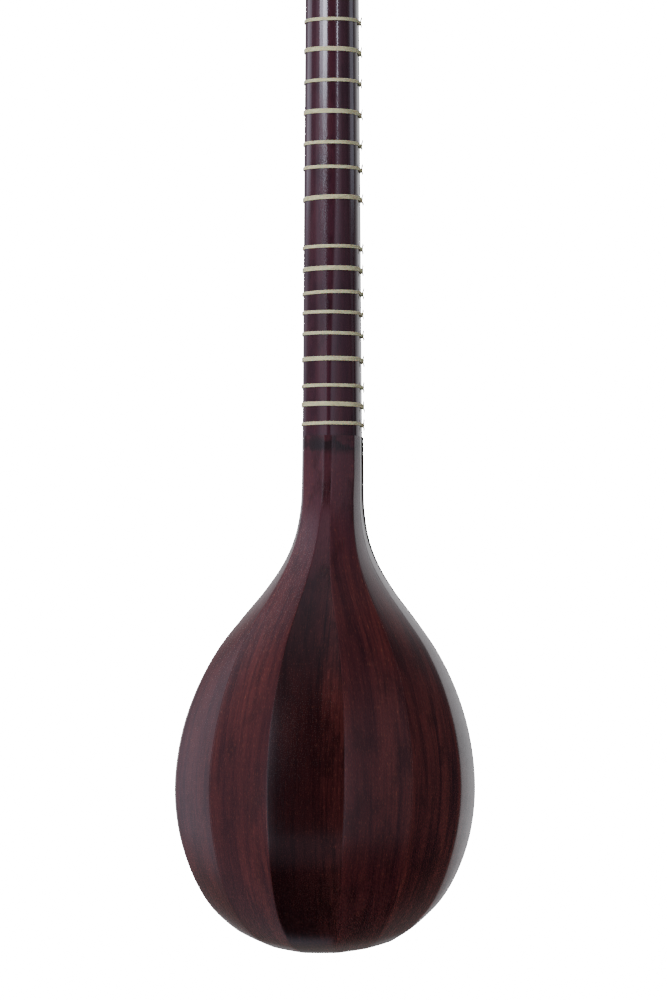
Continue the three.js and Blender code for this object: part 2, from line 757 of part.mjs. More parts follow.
// A string's route: holder, bridge, nut, the head's edge for a side peg, and the peg's shaft
function stringRoute(index) {
  const radius = stringDiameters[index] / 2;
  const lift = stringClearance + radius;
  const peg = pegPlaces[stringPegs[index]];
  const atBridge = stringPlacesAtBridge[index];
  const atNut = stringPlacesAtNut[index];
  const route = [
    new THREE.Vector3(
      atBridge,
      -boardThickness - holderHeight / 2,
      holderPlace + holderLength + fitGap,
    ),
    new THREE.Vector3(
      atBridge,
      -boardThickness - bridgeHeight - lift,
      bridgePlace - bridgeTopThickness / 2,
    ),
    new THREE.Vector3(atNut, -plateThickness - nutHeight - lift, nutPlace + nutThickness / 2),
  ];
  const reach = windingRadius(index, stringStandOff);
  if (!peg.side) {
    const side = index === 0 ? 1 : -1;
    route.push(new THREE.Vector3(
      peg.across + side * reach,
      -plateThickness - stringStandOff,
      peg.up,
    ));
    return route;
  }
  const edge = neckWidthAtNut / 2 + stringEdgeClearance + radius;
  const edgeShare = 0.5;
  const edgeHeight = nutPlace + (peg.up - nutPlace) * edgeShare;
  route.push(new THREE.Vector3(-edge, -plateThickness - stringEdgeClearance - radius, edgeHeight));
  route.push(new THREE.Vector3(
    -neckWidthAtNut / 2 - stringStandOff,
    peg.across - reach,
    peg.up,
  ));
  return route;
}

function makeString(index) {
  const geometry = wire(stringRoute(index), stringDiameters[index]);
  return piece(`string_${index + 1}`, geometry, stringMaterials[index]);
}

const setar = new THREE.Group();
for (let rib = 0; rib < ribCount; rib += 1) setar.add(makeRib(rib));
setar.add(makeSoundboard(), makeBrace(), makeTailClasp());
setar.add(makeBlock('tail_block', bowlPlaces.slice(0, tailBlockSteps + 1)));
setar.add(makeBlock('neck_block', bowlPlaces.slice(-neckBlockSteps - 1)));
setar.add(makeNeck(), makeFingerboard(), makeHeadPlate(), makeNut());
setar.add(makeBridge(), makeStringHolder());
Object.keys(pegPlaces).forEach((name) => setar.add(makePeg(name)));
fretPlaceShares.forEach((_, index) => setar.add(makeFret(index)));
stringDiameters.forEach((_, index) => setar.add(makeWinding(index), makeString(index)));

// The origin is where the instrument hangs, on the neck just above the nut
setar.position.z = -(nutPlace + hangerRise);

export default setar;
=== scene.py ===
"""Finished looks of a setar, a small long-necked lute, built over its measured parts.

Shapes are worked out in millimetres. X runs across, with the bass side at -X. Y runs from the
strings at -Y to the back of the bowl at +Y. Heights run up the neck from the tail of the bowl.
"""

import math

import bpy
import numpy as np
from bpy.props import FloatProperty, FloatVectorProperty, IntProperty, PointerProperty
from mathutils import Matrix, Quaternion, Vector


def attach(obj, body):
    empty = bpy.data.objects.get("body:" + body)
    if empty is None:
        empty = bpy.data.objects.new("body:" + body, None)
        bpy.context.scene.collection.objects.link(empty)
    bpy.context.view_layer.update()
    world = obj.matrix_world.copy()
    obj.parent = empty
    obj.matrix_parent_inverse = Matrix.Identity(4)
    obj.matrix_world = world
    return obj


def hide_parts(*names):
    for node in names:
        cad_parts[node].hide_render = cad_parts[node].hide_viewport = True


bl_info = {
    "name": "Setar",
    "version": (1, 0, 0),
    "blender": (4, 5, 0),
    "location": "View3D > Sidebar > Setar",
    "description": "Builds the finished looks of a setar over its measured parts",
    "category": "Add Mesh",
}

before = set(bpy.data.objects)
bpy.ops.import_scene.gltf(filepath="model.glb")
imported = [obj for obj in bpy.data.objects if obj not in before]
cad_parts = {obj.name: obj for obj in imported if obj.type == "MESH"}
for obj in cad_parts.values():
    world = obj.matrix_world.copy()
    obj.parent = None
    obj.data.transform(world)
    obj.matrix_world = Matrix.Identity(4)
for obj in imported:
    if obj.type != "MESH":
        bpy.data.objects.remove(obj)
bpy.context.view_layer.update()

MM = 0.001
SCALE_LENGTH = 645.0
BRIDGE_PLACE = 63.9
LAST_FRET_RISE = 6.12
HEAD_LENGTH = 125.0
HANGER_RISE = 20.0
NUT_PLACE = BRIDGE_PLACE + SCALE_LENGTH
HEAD_TOP = NUT_PLACE + HEAD_LENGTH
ORIGIN_HEIGHT = NUT_PLACE + HANGER_RISE

BOWL_HALF_WIDTH = 77.0
BOWL_DEPTH = 131.0
RIB_THICKNESS = 3.0
BOARD_THICKNESS = 3.0
PLATE_THICKNESS = 3.0
NECK_WIDTHS = (30.0, 23.5)
NECK_DEPTHS = (26.0, 22.0)
HEAD_TIP_LENGTH = 4.0
HEAD_TIP_NARROWING = 0.16
NUT_THICKNESS = 4.5
NUT_HEIGHT = 2.0
BRIDGE_LENGTH = 58.0
BRIDGE_HEIGHT = 11.0
BRIDGE_FOOT_LENGTH = 11.0
BRIDGE_FOOT_THICKNESS = 6.0
HOLDER_SIZE = (34.0, 4.5, 8.0)
HOLDER_PLACE = 11.0
SOUND_HOLE_RADIUS = 1.4
SOUND_HOLE_SPACING = 9.0
SOUND_HOLE_PLACE = 150.0
SOUND_HOLE_STEPS = (
    (0, 2), (-1, 1), (1, 1), (-2, 0), (0, 0), (2, 0), (-1, -1), (1, -1), (0, -2),
)
STRING_PLACES_AT_NUT = (8.0, 0.0, -7.4, -9.4)
STRING_PLACES_AT_BRIDGE = (13.5, 3.5, -9.5, -12.5)

# Cross sections of the bowl from the tail to the neck, as shares of its length, half width and
# depth: height at the rim, height at the back, half width at the rim, widest half width, depth,
# and how far the seams have drawn to their places at the neck
BOWL_SECTIONS = np.array((
    (0.022, 0.009, 0.12, 0.139, 0.17, 0),
    (0.04, 0.003, 0.345, 0.408, 0.43, 0),
    (0.055, 0.012, 0.452, 0.515, 0.61, 0),
    (0.077, 0.032, 0.567, 0.628, 0.755, 0),
    (0.116, 0.076, 0.708, 0.77, 0.885, 0),
    (0.162, 0.135, 0.811, 0.874, 0.96, 0),
    (0.214, 0.207, 0.882, 0.949, 0.995, 0),
    (0.271, 0.271, 0.917, 0.989, 1, 0),
    (0.331, 0.331, 0.924, 0.998, 0.99, 0),
    (0.395, 0.395, 0.907, 0.976, 0.955, 0),
    (0.459, 0.459, 0.862, 0.925, 0.905, 0),
    (0.526, 0.526, 0.783, 0.837, 0.835, 0.05),
    (0.59, 0.59, 0.676, 0.716, 0.755, 0.1),
    (0.647, 0.647, 0.542, 0.566, 0.67, 0.2),
    (0.699, 0.699, 0.408, 0.423, 0.565, 0.35),
    (0.752, 0.752, 0.299, 0.306, 0.45, 0.55),
    (0.805, 0.805, 0.232, 0.236, 0.345, 0.75),
    (0.865, 0.865, 0.202, 0.203, 0.26, 0.9),
    (0.932, 0.932, 0.198, 0.198, 0.215, 1),
    (1, 1, 0.196, 0.196, 0.1985, 1),
))
# Seams from the rim to the middle stave, as shares of width and depth, on the full bowl and at
# the neck; crowns are the bulge of a stave as a share of its width
BOWL_SEAM_WIDTHS = np.array((0, 0.996, 0.939, 0.662, 0.252))
BOWL_SEAM_DEPTHS = np.array((0, 0.29, 0.545, 0.81, 0.992))
NECK_SEAM_WIDTHS = np.array((1, 1, 0.985, 0.853, 0.137))
NECK_SEAM_DEPTHS = np.array((0, 0.17, 0.37, 0.715, 0.998))
BOWL_CROWN = 0.02
NECK_CROWNS = np.array((0, 0.01, 0.01, 0.02, 0.005))
SEAMS = len(BOWL_SEAM_WIDTHS)
STAVES = 2 * SEAMS - 1
LAST_PLACE = len(BOWL_SECTIONS) - 1
TAIL_CROWDING = 1.25

# Columns of a stave: shares of its edge rounding, and how many lie between the edges
STAVE_EDGE = np.array((0, 0.12, 0.35, 0.65, 1.0))
STAVE_COLUMNS = 8
BOARD_STEPS = 150
ROUNDING_STEPS = 3

# Rings of the cap at the tail: share of the opening, and how far each lies below it
TAIL_CAP = (
    (0.8, -2.6), (0.965, 0.0), (0.97, 0.5), (0.94, 1.1), (0.86, 1.7), (0.72, 2.2), (0.5, 2.5),
    (0.22, 2.6),
)

# Half of the neck's back where it meets the bowl, as shares of its half width and depth
JOINT_OUTLINE = np.array((
    (1, 0.3), (0.972, 0.44), (0.925, 0.58), (0.853, 0.715), (0.5, 0.86), (0.137, 0.995), (0, 1),
))
BACK_POWER = 2.1
NECK_SIDE_SHARE = 0.3
RIDGE_LENGTH = 150.0
BACK_STEPS = 72
BACK_SOFTENING = 5

# Frets: place from the bridge as a share of the scale, turns of gut, and the slope of the band,
# which rises towards the bass side
FRETS = (
    (0.9493, 3, 0.01), (0.925, 3, -0.012), (0.8888, 4, 0.004), (0.8438, 3, 0.016),
    (0.8217, 3, -0.006), (0.79, 3, 0.009), (0.75, 4, -0.014), (0.7236, 3, 0.003),
    (0.6929, 3, 0.012), (0.6666, 4, -0.008), (0.6425, 3, 0.018), (0.6187, 4, -0.014),
    (0.5937, 3, 0.012), (0.569, 4, -0.018), (0.5441, 3, -0.003), (0.5245, 3, -0.003),
    (0.5003, 4, 0.05), (0.4612, 3, 0.01), (0.4437, 4, 0.02), (0.4248, 3, 0.04),
    (0.4089, 3, -0.014), (0.3922, 3, -0.023), (0.3719, 4, -0.005), (0.3506, 3, -0.01),
    (0.3358, 4, -0.026), (0.3205, 3, -0.005),
)
BOWL_LENGTH = BRIDGE_PLACE + FRETS[-1][0] * SCALE_LENGTH - LAST_FRET_RISE
# The darker patch over the joint of neck and bowl: start, full, still full, end
JOINT_DARK_SPAN = tuple(BOWL_LENGTH + rise for rise in (-11.0, -6.0, -4.0, 3.0))
THROAT_START = BOWL_LENGTH - 95.0
LACQUER_GLOSS = 0.15
# Mauve of the painted reflection mixed into the throat's colour, for the cool sheen on its
# lacquer
THROAT_PAINTED_SHEEN = (0.085, 0.031, 0.044)
# Near-black colour of the patches over the joint of neck and bowl
JOINT_DARK_COLOUR = (0.012, 0.011, 0.013)

KNOT_DEPTH = 3.0
FRET_CLEARANCE = 0.1
FRET_TRAVEL = 3.0
FRET_SLOPE_SHARE = 0.55
TURN_STEPS = 96
TURN_PITCH = 1.02
TURN_WAVE = 0.03
GUT_TWIST = 0.8
GUT_SIDES = 8
FRET_SEED = 700
LOOP_DIRECTIONS = 720
LOOP_POINTS = 2000
# Half sizes of a knot's loops: out of the neck, round it, and along it for its spread
KNOT_LOOPS = (0.42, 0.55, 0.52)
END_REACH = (2.2, 3.0)
END_LEAN = (0.15, 0.4)
END_STRANDS = 3

# Each stave's grain starts this much further on than the last one's
GRAIN_STEP = 61.3
PEG_GRAIN_STEP = 43.7
# How far on the grain of the other large pieces starts
GRAIN_STARTS = {
    "soundboard": 17.0, "neck": 311.0, "fingerboard": 411.0, "head_plate": 511.0,
    "bridge": 611.0,
}

# Pegs: name, whether it leaves the head's side, its place across the wood, height over the nut
PEGS = (
    ("peg_front_low", False, 4.5, 40.0),
    ("peg_front_high", False, 0.0, 84.0),
    ("peg_side_low", True, 11.0, 62.0),
    ("peg_side_high", True, 11.0, 106.0),
)
PEG_SHAFT_RADIUS = 4.5
PEG_TIP_RADIUS = 3.7
PEG_EXPOSURE = 9.0
PEG_TIP_REACH = 3.0
PEG_CLEARANCE = 0.1
PEG_SIDES = 56
BORE_SIDES = 40
BORE_MARGIN = 2.0
SOUND_HOLE_SIDES = 24
KNOB_LENGTH = 27.0
KNOB_RADIUS = 10.5
KNOB_STEPS = 90
KNOB_OUTLINE = np.array((
    (0, 0.5), (0.03, 0.585), (0.06, 0.6), (0.09, 0.57), (0.12, 0.5), (0.15, 0.47), (0.24, 0.49),
    (0.33, 0.62), (0.42, 0.8), (0.51, 0.94), (0.6, 1), (0.68, 1), (0.76, 0.965), (0.83, 0.87),
    (0.88, 0.7), (0.9, 0.42), (0.92, 0.34), (0.945, 0.335), (0.97, 0.33), (0.99, 0.27), (1, 0.12),
))

NUT_COLUMNS = 190
NUT_SLOT_DEPTHS = (0.12, 0.13, 0.11, 0.2)
NUT_SLOT_WIDTH = 0.22
NUT_END_ROUNDING = 0.6
NUT_CREST_ROUNDING = 0.8
BRIDGE_COLUMNS = 150
BRIDGE_END_HEIGHT = 1.8
BRIDGE_LEAST_WOOD = 0.6
BRIDGE_CREST_THICKNESS = 1.0
BRIDGE_SHOULDER_SHARE = 0.28
BRIDGE_ARCH_SHARE = 0.45
BRIDGE_SLOT = (0.12, 0.25)
HOLDER_COLUMNS = 120
HOLDER_SLOT = (0.5, 0.35)
HOLDER_ROUNDING = 1.2
HOLDER_END_LENGTH = 1.4
HOLDER_GROOVE_SHARE = 0.62


# Sizes and colours that a user would change

def length_property(name, description, default, low, high):
    return FloatProperty(
        name=name, description=description, default=default, min=low, max=high,
        subtype="DISTANCE", unit="LENGTH")


def colour_property(name, description, default):
    return FloatVectorProperty(
        name=name, description=description, default=default, min=0.0, max=1.0,
        subtype="COLOR")


class SetarSizes(bpy.types.PropertyGroup):
    """Sizes of the fine detail"""

    seam_rounding: length_property(
        "Seam Rounding", "Radius of the worn edge along each stave", 0.0006, 0.0001, 0.002)
    seam_gap: length_property(
        "Seam Gap", "Width of the line between two staves", 0.00004, 0.0, 0.0003)
    gut_diameter: length_property(
        "Gut Diameter", "Thickness of one turn of gut", 0.00055, 0.0003, 0.0008)
    edge_rounding: length_property(
        "Edge Rounding", "Radius of the edges of board and plates", 0.0005, 0.0001, 0.0012)
    board_overhang: length_property(
        "Board Overhang", "How far the soundboard stands out past the bowl", 0.0005, 0.0, 0.001)
    floor_drop: length_property(
        "Floor Drop", "Distance of the floor under the bowl", 0.5, 0.05, 1.0)
    stave_steps: IntProperty(
        name="Stave Steps", description="Steps along each stave", default=130, min=40, max=300)


class SetarColours(bpy.types.PropertyGroup):
    """Colours of the finishes"""

    walnut_dark: colour_property(
        "Dark Walnut", "Deep tone of the lacquered staves", (0.032, 0.0066, 0.0098))
    walnut_red: colour_property(
        "Red Walnut", "Warm tone of the lacquered staves", (0.108, 0.0235, 0.0215))
    fleck: colour_property("Fleck", "Short light flecks in the grain", (0.2, 0.062, 0.036))
    board: colour_property("Soundboard", "Mulberry of the soundboard", (0.36, 0.2, 0.085))
    gut: colour_property("Gut", "Gut of the frets", (0.87, 0.85, 0.52))
    ebony: colour_property("Ebony", "Fingerboard, pegs and bridge", (0.02, 0.013, 0.011))
    bone: colour_property("Bone", "Nut and string holder", (0.72, 0.64, 0.47))


# Shader maths

def maths(operation, swapped=False):
    """A method that works out one maths node from a value and what it's given."""
    def method(self, *others):
        operands = (*others, self) if swapped else (self, *others)
        inputs = dict(enumerate(operands))
        return self.shader.node("ShaderNodeMath", {"operation": operation}, inputs)
    return method


class Value:
    """A shader socket that takes part in Python expressions."""

    __add__ = __radd__ = maths("ADD")
    __mul__ = __rmul__ = maths("MULTIPLY")
    __sub__ = maths("SUBTRACT")
    __rsub__ = maths("SUBTRACT", swapped=True)
    absolute = maths("ABSOLUTE")
    arcsine = maths("ARCSINE")
    arctangent = maths("ARCTAN2")

    def __init__(self, shader, socket):
        self.shader = shader
        self.socket = socket

    def __neg__(self):
        return self * -1.0

    def rise(self, low, high):
        """Smooth step from 0 at the low value to 1 at the high one."""
        return self.shader.node(
            "ShaderNodeMapRange", {"interpolation_type": "SMOOTHSTEP"},
            {"Value": self, "From Min": low, "From Max": high})

    def window(self, start, full, fall, end):
        """Rises from 0 to 1 and falls back to 0."""
        return self.rise(start, full) * (1 - self.rise(fall, end))


class Shader:
    """A material's nodes, made through expressions and one method for any node."""

    def __init__(self, name="", tree=None):
        if tree is None:
            self.material = bpy.data.materials.new(name)
            self.material.use_nodes = True
            tree = self.material.node_tree
        self.tree = tree
        self.tree.nodes.clear()

    def node(self, kind, settings=None, inputs=None, output=0):
        made = self.tree.nodes.new(kind)
        for name, setting in (settings or {}).items():
            setattr(made, name, setting)
        for key, value in (inputs or {}).items():
            socket = self._socket(made, key)
            if isinstance(value, Value):
                self.tree.links.new(value.socket, socket)
            else:
                socket.default_value = value
        return Value(self, made.outputs[output] if made.outputs else None)

    @staticmethod
    def _socket(made, key):
        if isinstance(key, int):
            return made.inputs[key]
        for socket in made.inputs:
            if key in (socket.identifier, socket.name) and socket.enabled:
                return socket
        raise KeyError(f"{made.bl_idname} has no input {key}")

    def grain(self):
        """Place in the wood in millimetres: across, through and along the piece."""
        return self.node("ShaderNodeAttribute", {"attribute_name": "grain"}, output=1)

    def place(self):
        """Place on a carried-over part, in millimetres."""
        found = self.node("ShaderNodeTexCoord", output=3)
        return self.vector("MULTIPLY", found, (1 / MM,) * 3)

    def vector(self, operation, a, b, output=0):
        settings = {"operation": operation}
        return self.node("ShaderNodeVectorMath", settings, {0: a, 1: tuple(b)}, output)

    def axes(self, vector):
        split = self.node("ShaderNodeSeparateXYZ", None, {0: vector})
        return [Value(self, outlet) for outlet in split.socket.node.outputs]

    def noise(self, vector, stretch, detail=3.0, roughness=0.55, distortion=0.0):
        """Noise between about 0.2 and 0.8, with its grains stretched along the wood."""
        placed = self.vector("MULTIPLY", vector, stretch)
        return self.node(
            "ShaderNodeTexNoise", {"noise_dimensions": "3D"},
            {"Vector": placed, "Scale": 1.0, "Detail": detail, "Roughness": roughness,
             "Distortion": distortion})

    def mix(self, factor, a, b, blend="MIX"):
        a, b = [(*c, 1.0) if isinstance(c, tuple) and len(c) == 3 else c for c in (a, b)]
        return self.node(
            "ShaderNodeMix", {"data_type": "RGBA", "blend_type": blend, "clamp_factor": True},
            {"Factor_Float": factor, "A_Color": a, "B_Color": b}, output=2)

    def bump(self, height, strength, distance):
        return self.node(
            "ShaderNodeBump", None,
            {"Strength": strength, "Distance": distance, "Height": height})

    def surface(self, **sockets):
        """The principled surface, with constants on its own sockets."""
        named = {
            key.replace("_", " ").title().replace("Ior", "IOR"): value
            for key, value in sockets.items()
        }
        principled = self.node("ShaderNodeBsdfPrincipled", None, named)
        self.node("ShaderNodeOutputMaterial", None, {"Surface": principled})
        return self.material


def tone(colour, factor):
    return tuple(min(channel * factor, 1.0) for channel in colour)


def walnut(name, dark, red, fleck, warmth, fleck_share=1.0, throat_dark=None,
           gloss=LACQUER_GLOSS, relief=0.045, warm_side=None, throat_sheen_share=0.6):
    """Stained walnut under lacquer, with fine pores, light flecks and slow bands of colour.

    The throat of the bowl may have its own dark tone, and a painted reflection of cool sheen
    is mixed over it in mauve. One side of a stave may be warmer: warm_side gives the places
    across it between which the warmth fades.
    """
    shader = Shader(name)
    grain = shader.grain()
    across, _, along = shader.axes(grain)
    wander = shader.noise(grain, (0.02, 0.02, 0.006), 2.0)
    bands = shader.noise(grain, (0.16, 0.16, 0.011), 3.0, 0.6, 0.6)
    fine_bands = shader.noise(grain, (0.8, 0.8, 0.03), 3.0, 0.6, 0.3)
    pores = shader.noise(grain, (4.2, 4.2, 0.16), 2.0, 0.6)
    flecks = shader.noise(grain, (2.2, 2.2, 0.42), 1.0, 0.5)
    mottle = shader.noise(grain, (0.07, 0.07, 0.035), 3.0, 0.6)
    red_share = (bands.rise(0.32, 0.68) * 0.7 + fine_bands.rise(0.34, 0.66) * 0.3) * warmth
    if warm_side:
        warmer = bands.rise(0.3, 0.6) * 0.16 + fine_bands.rise(0.36, 0.6) * 0.2
        red_share = red_share + (1 - across.rise(*warm_side)) * warmer
    red_share = red_share * (0.55 + wander.rise(0.36, 0.62) * 0.6)
    # Less red over the joint of neck and bowl
    less_red_at_joint = along.rise(JOINT_DARK_SPAN[0] - 12, JOINT_DARK_SPAN[2]) * (fleck_share * 0.6)
    red_share = red_share * (1 - less_red_at_joint)
    throat = along.rise(THROAT_START, BOWL_LENGTH - 35)
    colour = shader.mix(red_share, shader.mix(throat, dark, throat_dark or dark), red)
    # Painted reflection: the throat's colour is mixed towards mauve, standing in for the cool
    # sheen on its lacquer
    painted_sheen = along.rise(THROAT_START, BOWL_LENGTH - 30) * throat_sheen_share
    colour = shader.mix(painted_sheen, colour, THROAT_PAINTED_SHEEN)
    colour = shader.mix(mottle.rise(0.48, 0.66) * 0.55, colour, tone(dark, 0.62))
    pore_mask = pores.rise(0.5, 0.68)
    colour = shader.mix(pore_mask * 0.5, colour, tone(dark, 0.35))
    fleck_mask = flecks.rise(0.58, 0.74) * (0.25 + red_share) * fleck_share
    colour = shader.mix(fleck_mask * 0.6, colour, fleck)
    patch = shader.noise(grain, (0.12, 0.12, 0.12), 2.0).rise(0.36, 0.5)
    # Near-black patches over the joint of neck and bowl
    dark_patch = along.window(*JOINT_DARK_SPAN) * patch * 0.8
    colour = shader.mix(dark_patch, colour, JOINT_DARK_COLOUR)
    dullness = (mottle * 0.12 + pore_mask * 0.1) * (gloss / LACQUER_GLOSS)
    height = (1 - pore_mask * 0.8) + fine_bands * 0.35
    return shader.surface(
        base_color=colour, roughness=gloss + dullness, ior=1.5,
        normal=shader.bump(height, relief, 0.00012))


def mulberry(name, colour):
    """Pale soundboard wood with straight fine grain and a darker edge."""
    shader = Shader(name)
    grain = shader.grain()
    rings = shader.noise(grain, (0.55, 0.55, 0.004), 4.0, 0.6, 0.4)
    pores = shader.noise(grain, (3.2, 3.2, 0.12), 2.0)
    slow = shader.noise(grain, (0.03, 0.03, 0.01), 2.0)
    base = shader.mix(rings.rise(0.35, 0.65), tone(colour, 0.72), tone(colour, 1.12))
    base = shader.mix(slow.rise(0.4, 0.65) * 0.35, base, tone(colour, 0.6))
    pore_mask = pores.rise(0.56, 0.7)
    base = shader.mix(pore_mask * 0.5, base, tone(colour, 0.4))
    edge = shader.node("ShaderNodeAttribute", {"attribute_name": "edge"}, output=2)
    base = shader.mix(edge.rise(0.3, 0.7), base, (0.022, 0.014, 0.009))
    height = 1 - pore_mask + rings * 0.3
    return shader.surface(
        base_color=base, roughness=0.34 + slow * 0.12 + edge * 0.5,
        normal=shader.bump(height, 0.2, 0.0001), ior=1.35,
        coat_weight=0.25 - edge * 0.25, coat_roughness=0.2)


def plain_wood(name, colour):
    """Unlacquered wood of the blocks and brace inside the bowl."""
    shader = Shader(name)
    place = shader.place()
    rings = shader.noise(place, (0.6, 0.6, 0.02), 4.0, 0.6, 0.5)
    fibres = shader.noise(place, (4.0, 4.0, 0.2), 2.0)
    base = shader.mix(rings.rise(0.3, 0.7), tone(colour, 0.7), tone(colour, 1.1))
    base = shader.mix(fibres.rise(0.5, 0.7) * 0.3, base, tone(colour, 0.45))
    return shader.surface(
        base_color=base, roughness=0.6 + fibres * 0.2, normal=shader.bump(fibres, 0.3, 0.0002))


def ebony(name, colour, roughness=0.3):
    """Close dark wood with faint brown streaks and a polished face."""
    shader = Shader(name)
    grain = shader.grain()
    streaks = shader.noise(grain, (0.7, 0.7, 0.02), 3.0, 0.6, 0.4)
    pores = shader.noise(grain, (5.0, 5.0, 0.25), 2.0)
    base = shader.mix(streaks.rise(0.45, 0.7), colour, tone(colour, 2.6))
    pore_mask = pores.rise(0.55, 0.7)
    base = shader.mix(pore_mask * 0.5, base, tone(colour, 0.4))
    gloss = roughness + streaks * 0.1 + pore_mask * 0.15
    return shader.surface(
        base_color=base, roughness=gloss, normal=shader.bump(1 - pore_mask, 0.2, 0.0001),
        coat_weight=0.2, coat_roughness=0.15)


def bone(name, colour):
    """Old bone with a faint fibre and yellowed low spots."""
    shader = Shader(name)
    grain = shader.grain()
    cloud = shader.noise(grain, (0.25, 0.25, 0.1), 3.0)
    fibre = shader.noise(grain, (3.0, 3.0, 0.6), 2.0)
    base = shader.mix(cloud.rise(0.35, 0.7), colour, tone(colour, 0.72))
    base = shader.mix(fibre.rise(0.58, 0.72) * 0.4, base, (0.4, 0.27, 0.13))
    return shader.surface(
        base_color=base, roughness=0.32 + cloud * 0.15, normal=shader.bump(fibre, 0.15, 0.0001),
        subsurface_weight=0.08, subsurface_scale=0.002)


def gut(name, colour):
    """Twisted gut, slightly clear, with fine fibres that wind along it."""
    shader = Shader(name)
    grain = shader.grain()
    twist = shader.noise(grain, (2.2, 2.2, 0.7), 3.0, 0.6)
    dark_patch = shader.noise(grain, (0.12, 0.12, 0.12), 2.0)
    base = shader.mix(twist.rise(0.35, 0.7), colour, tone(colour, 0.74))
    base = shader.mix(dark_patch.rise(0.45, 0.7) * 0.5, base, tone(colour, 0.62))
    return shader.surface(
        base_color=base, roughness=0.42 + twist * 0.2, normal=shader.bump(twist, 0.4, 0.00008),
        subsurface_weight=0.12, subsurface_scale=0.001)


def wire_metal(name, colour, roughness):
    """Drawn wire with fine dull lines along it."""
    shader = Shader(name)
    place = shader.place()
    lines = shader.noise(place, (9.0, 9.0, 0.3), 3.0)
    tarnish = shader.noise(place, (0.3, 0.3, 0.05), 3.0)
    base = shader.mix(tarnish.rise(0.5, 0.75), colour, tone(colour, 0.6))
    return shader.surface(
        base_color=base, roughness=roughness + lines * 0.15 + tarnish * 0.1,
        normal=shader.bump(lines, 0.15, 0.00005), metallic=1.0)


# Mesh making

def between(a, b, share):
    """What lies a share of the way from one value to another."""
    return a + (b - a) * share


def unit(vectors):
    return vectors / np.maximum(np.linalg.norm(vectors, axis=-1, keepdims=True), 1e-9)


def smoothstep(value, low, high):
    t = np.clip((value - low) / (high - low), 0, 1)
    return t * t * (3 - 2 * t)


def rounded_drop(share):
    """How far a quarter round has dropped, from all at share 0 to nothing at share 1."""
    return 1 - np.sqrt(1 - (1 - share) ** 2)


def groove(place, middle, width):
    """Depth of a soft groove at a place across it, as a share of its full depth."""
    return np.exp(-((place - middle) / width) ** 2)


def turn_angles(count):
    return np.arange(count) * 2 * math.pi / count


def resample(points, lengths, places):
    """Points of a flat line at places along it, where its own points lie at the lengths."""
    return np.stack([np.interp(places, lengths, points[:, k]) for k in (0, 1)], 1)


def spline(rows, places):
    """A smooth curve through evenly spaced rows."""
    places = np.asarray(places, float)
    last = len(rows) - 1
    step = np.minimum(np.floor(places).astype(int), last - 1)
    t = (places - step)[..., None]
    a, b = rows[step], rows[step + 1]
    before, after = rows[np.maximum(step - 1, 0)], rows[np.minimum(step + 2, last)]
    slope_a, slope_b = (b - before) / 2, (after - a) / 2
    return a + t * (slope_a + t * (3 * (b - a) - 2 * slope_a - slope_b
                                   + t * (2 * (a - b) + slope_a + slope_b)))


def turned(outline, sides):
    """Rings of a turned shape round its own Z, from places along the axis and radii."""
    angles = turn_angles(sides)
    return np.array([
        np.stack((np.cos(angles) * radius, np.sin(angles) * radius, np.full(sides, place)), 1)
        for place, radius in outline
    ])


def laid(rings, centre, axis):
    """Turned rings laid on a level axis."""
    up = (0, 0, 1.0)
    return centre + rings @ np.array((np.cross(axis, up), up, axis))


def ring_faces(count, size, closed):
    """Faces between rings that follow one another, closed into a hoop or flat at both ends."""
    faces = []
    for r in range(count if closed else count - 1):
        low, high = r * size, (r + 1) % count * size
        for i in range(size):
            j = (i + 1) % size
            faces.append((low + i, low + j, high + j, high + i))
    if not closed:
        faces.append(tuple(range(size - 1, -1, -1)))
        faces.append(tuple((count - 1) * size + i for i in range(size)))
    return faces


def add_object(name, data):
    made = bpy.data.objects.new(name, data)
    bpy.context.scene.collection.objects.link(made)
    return made


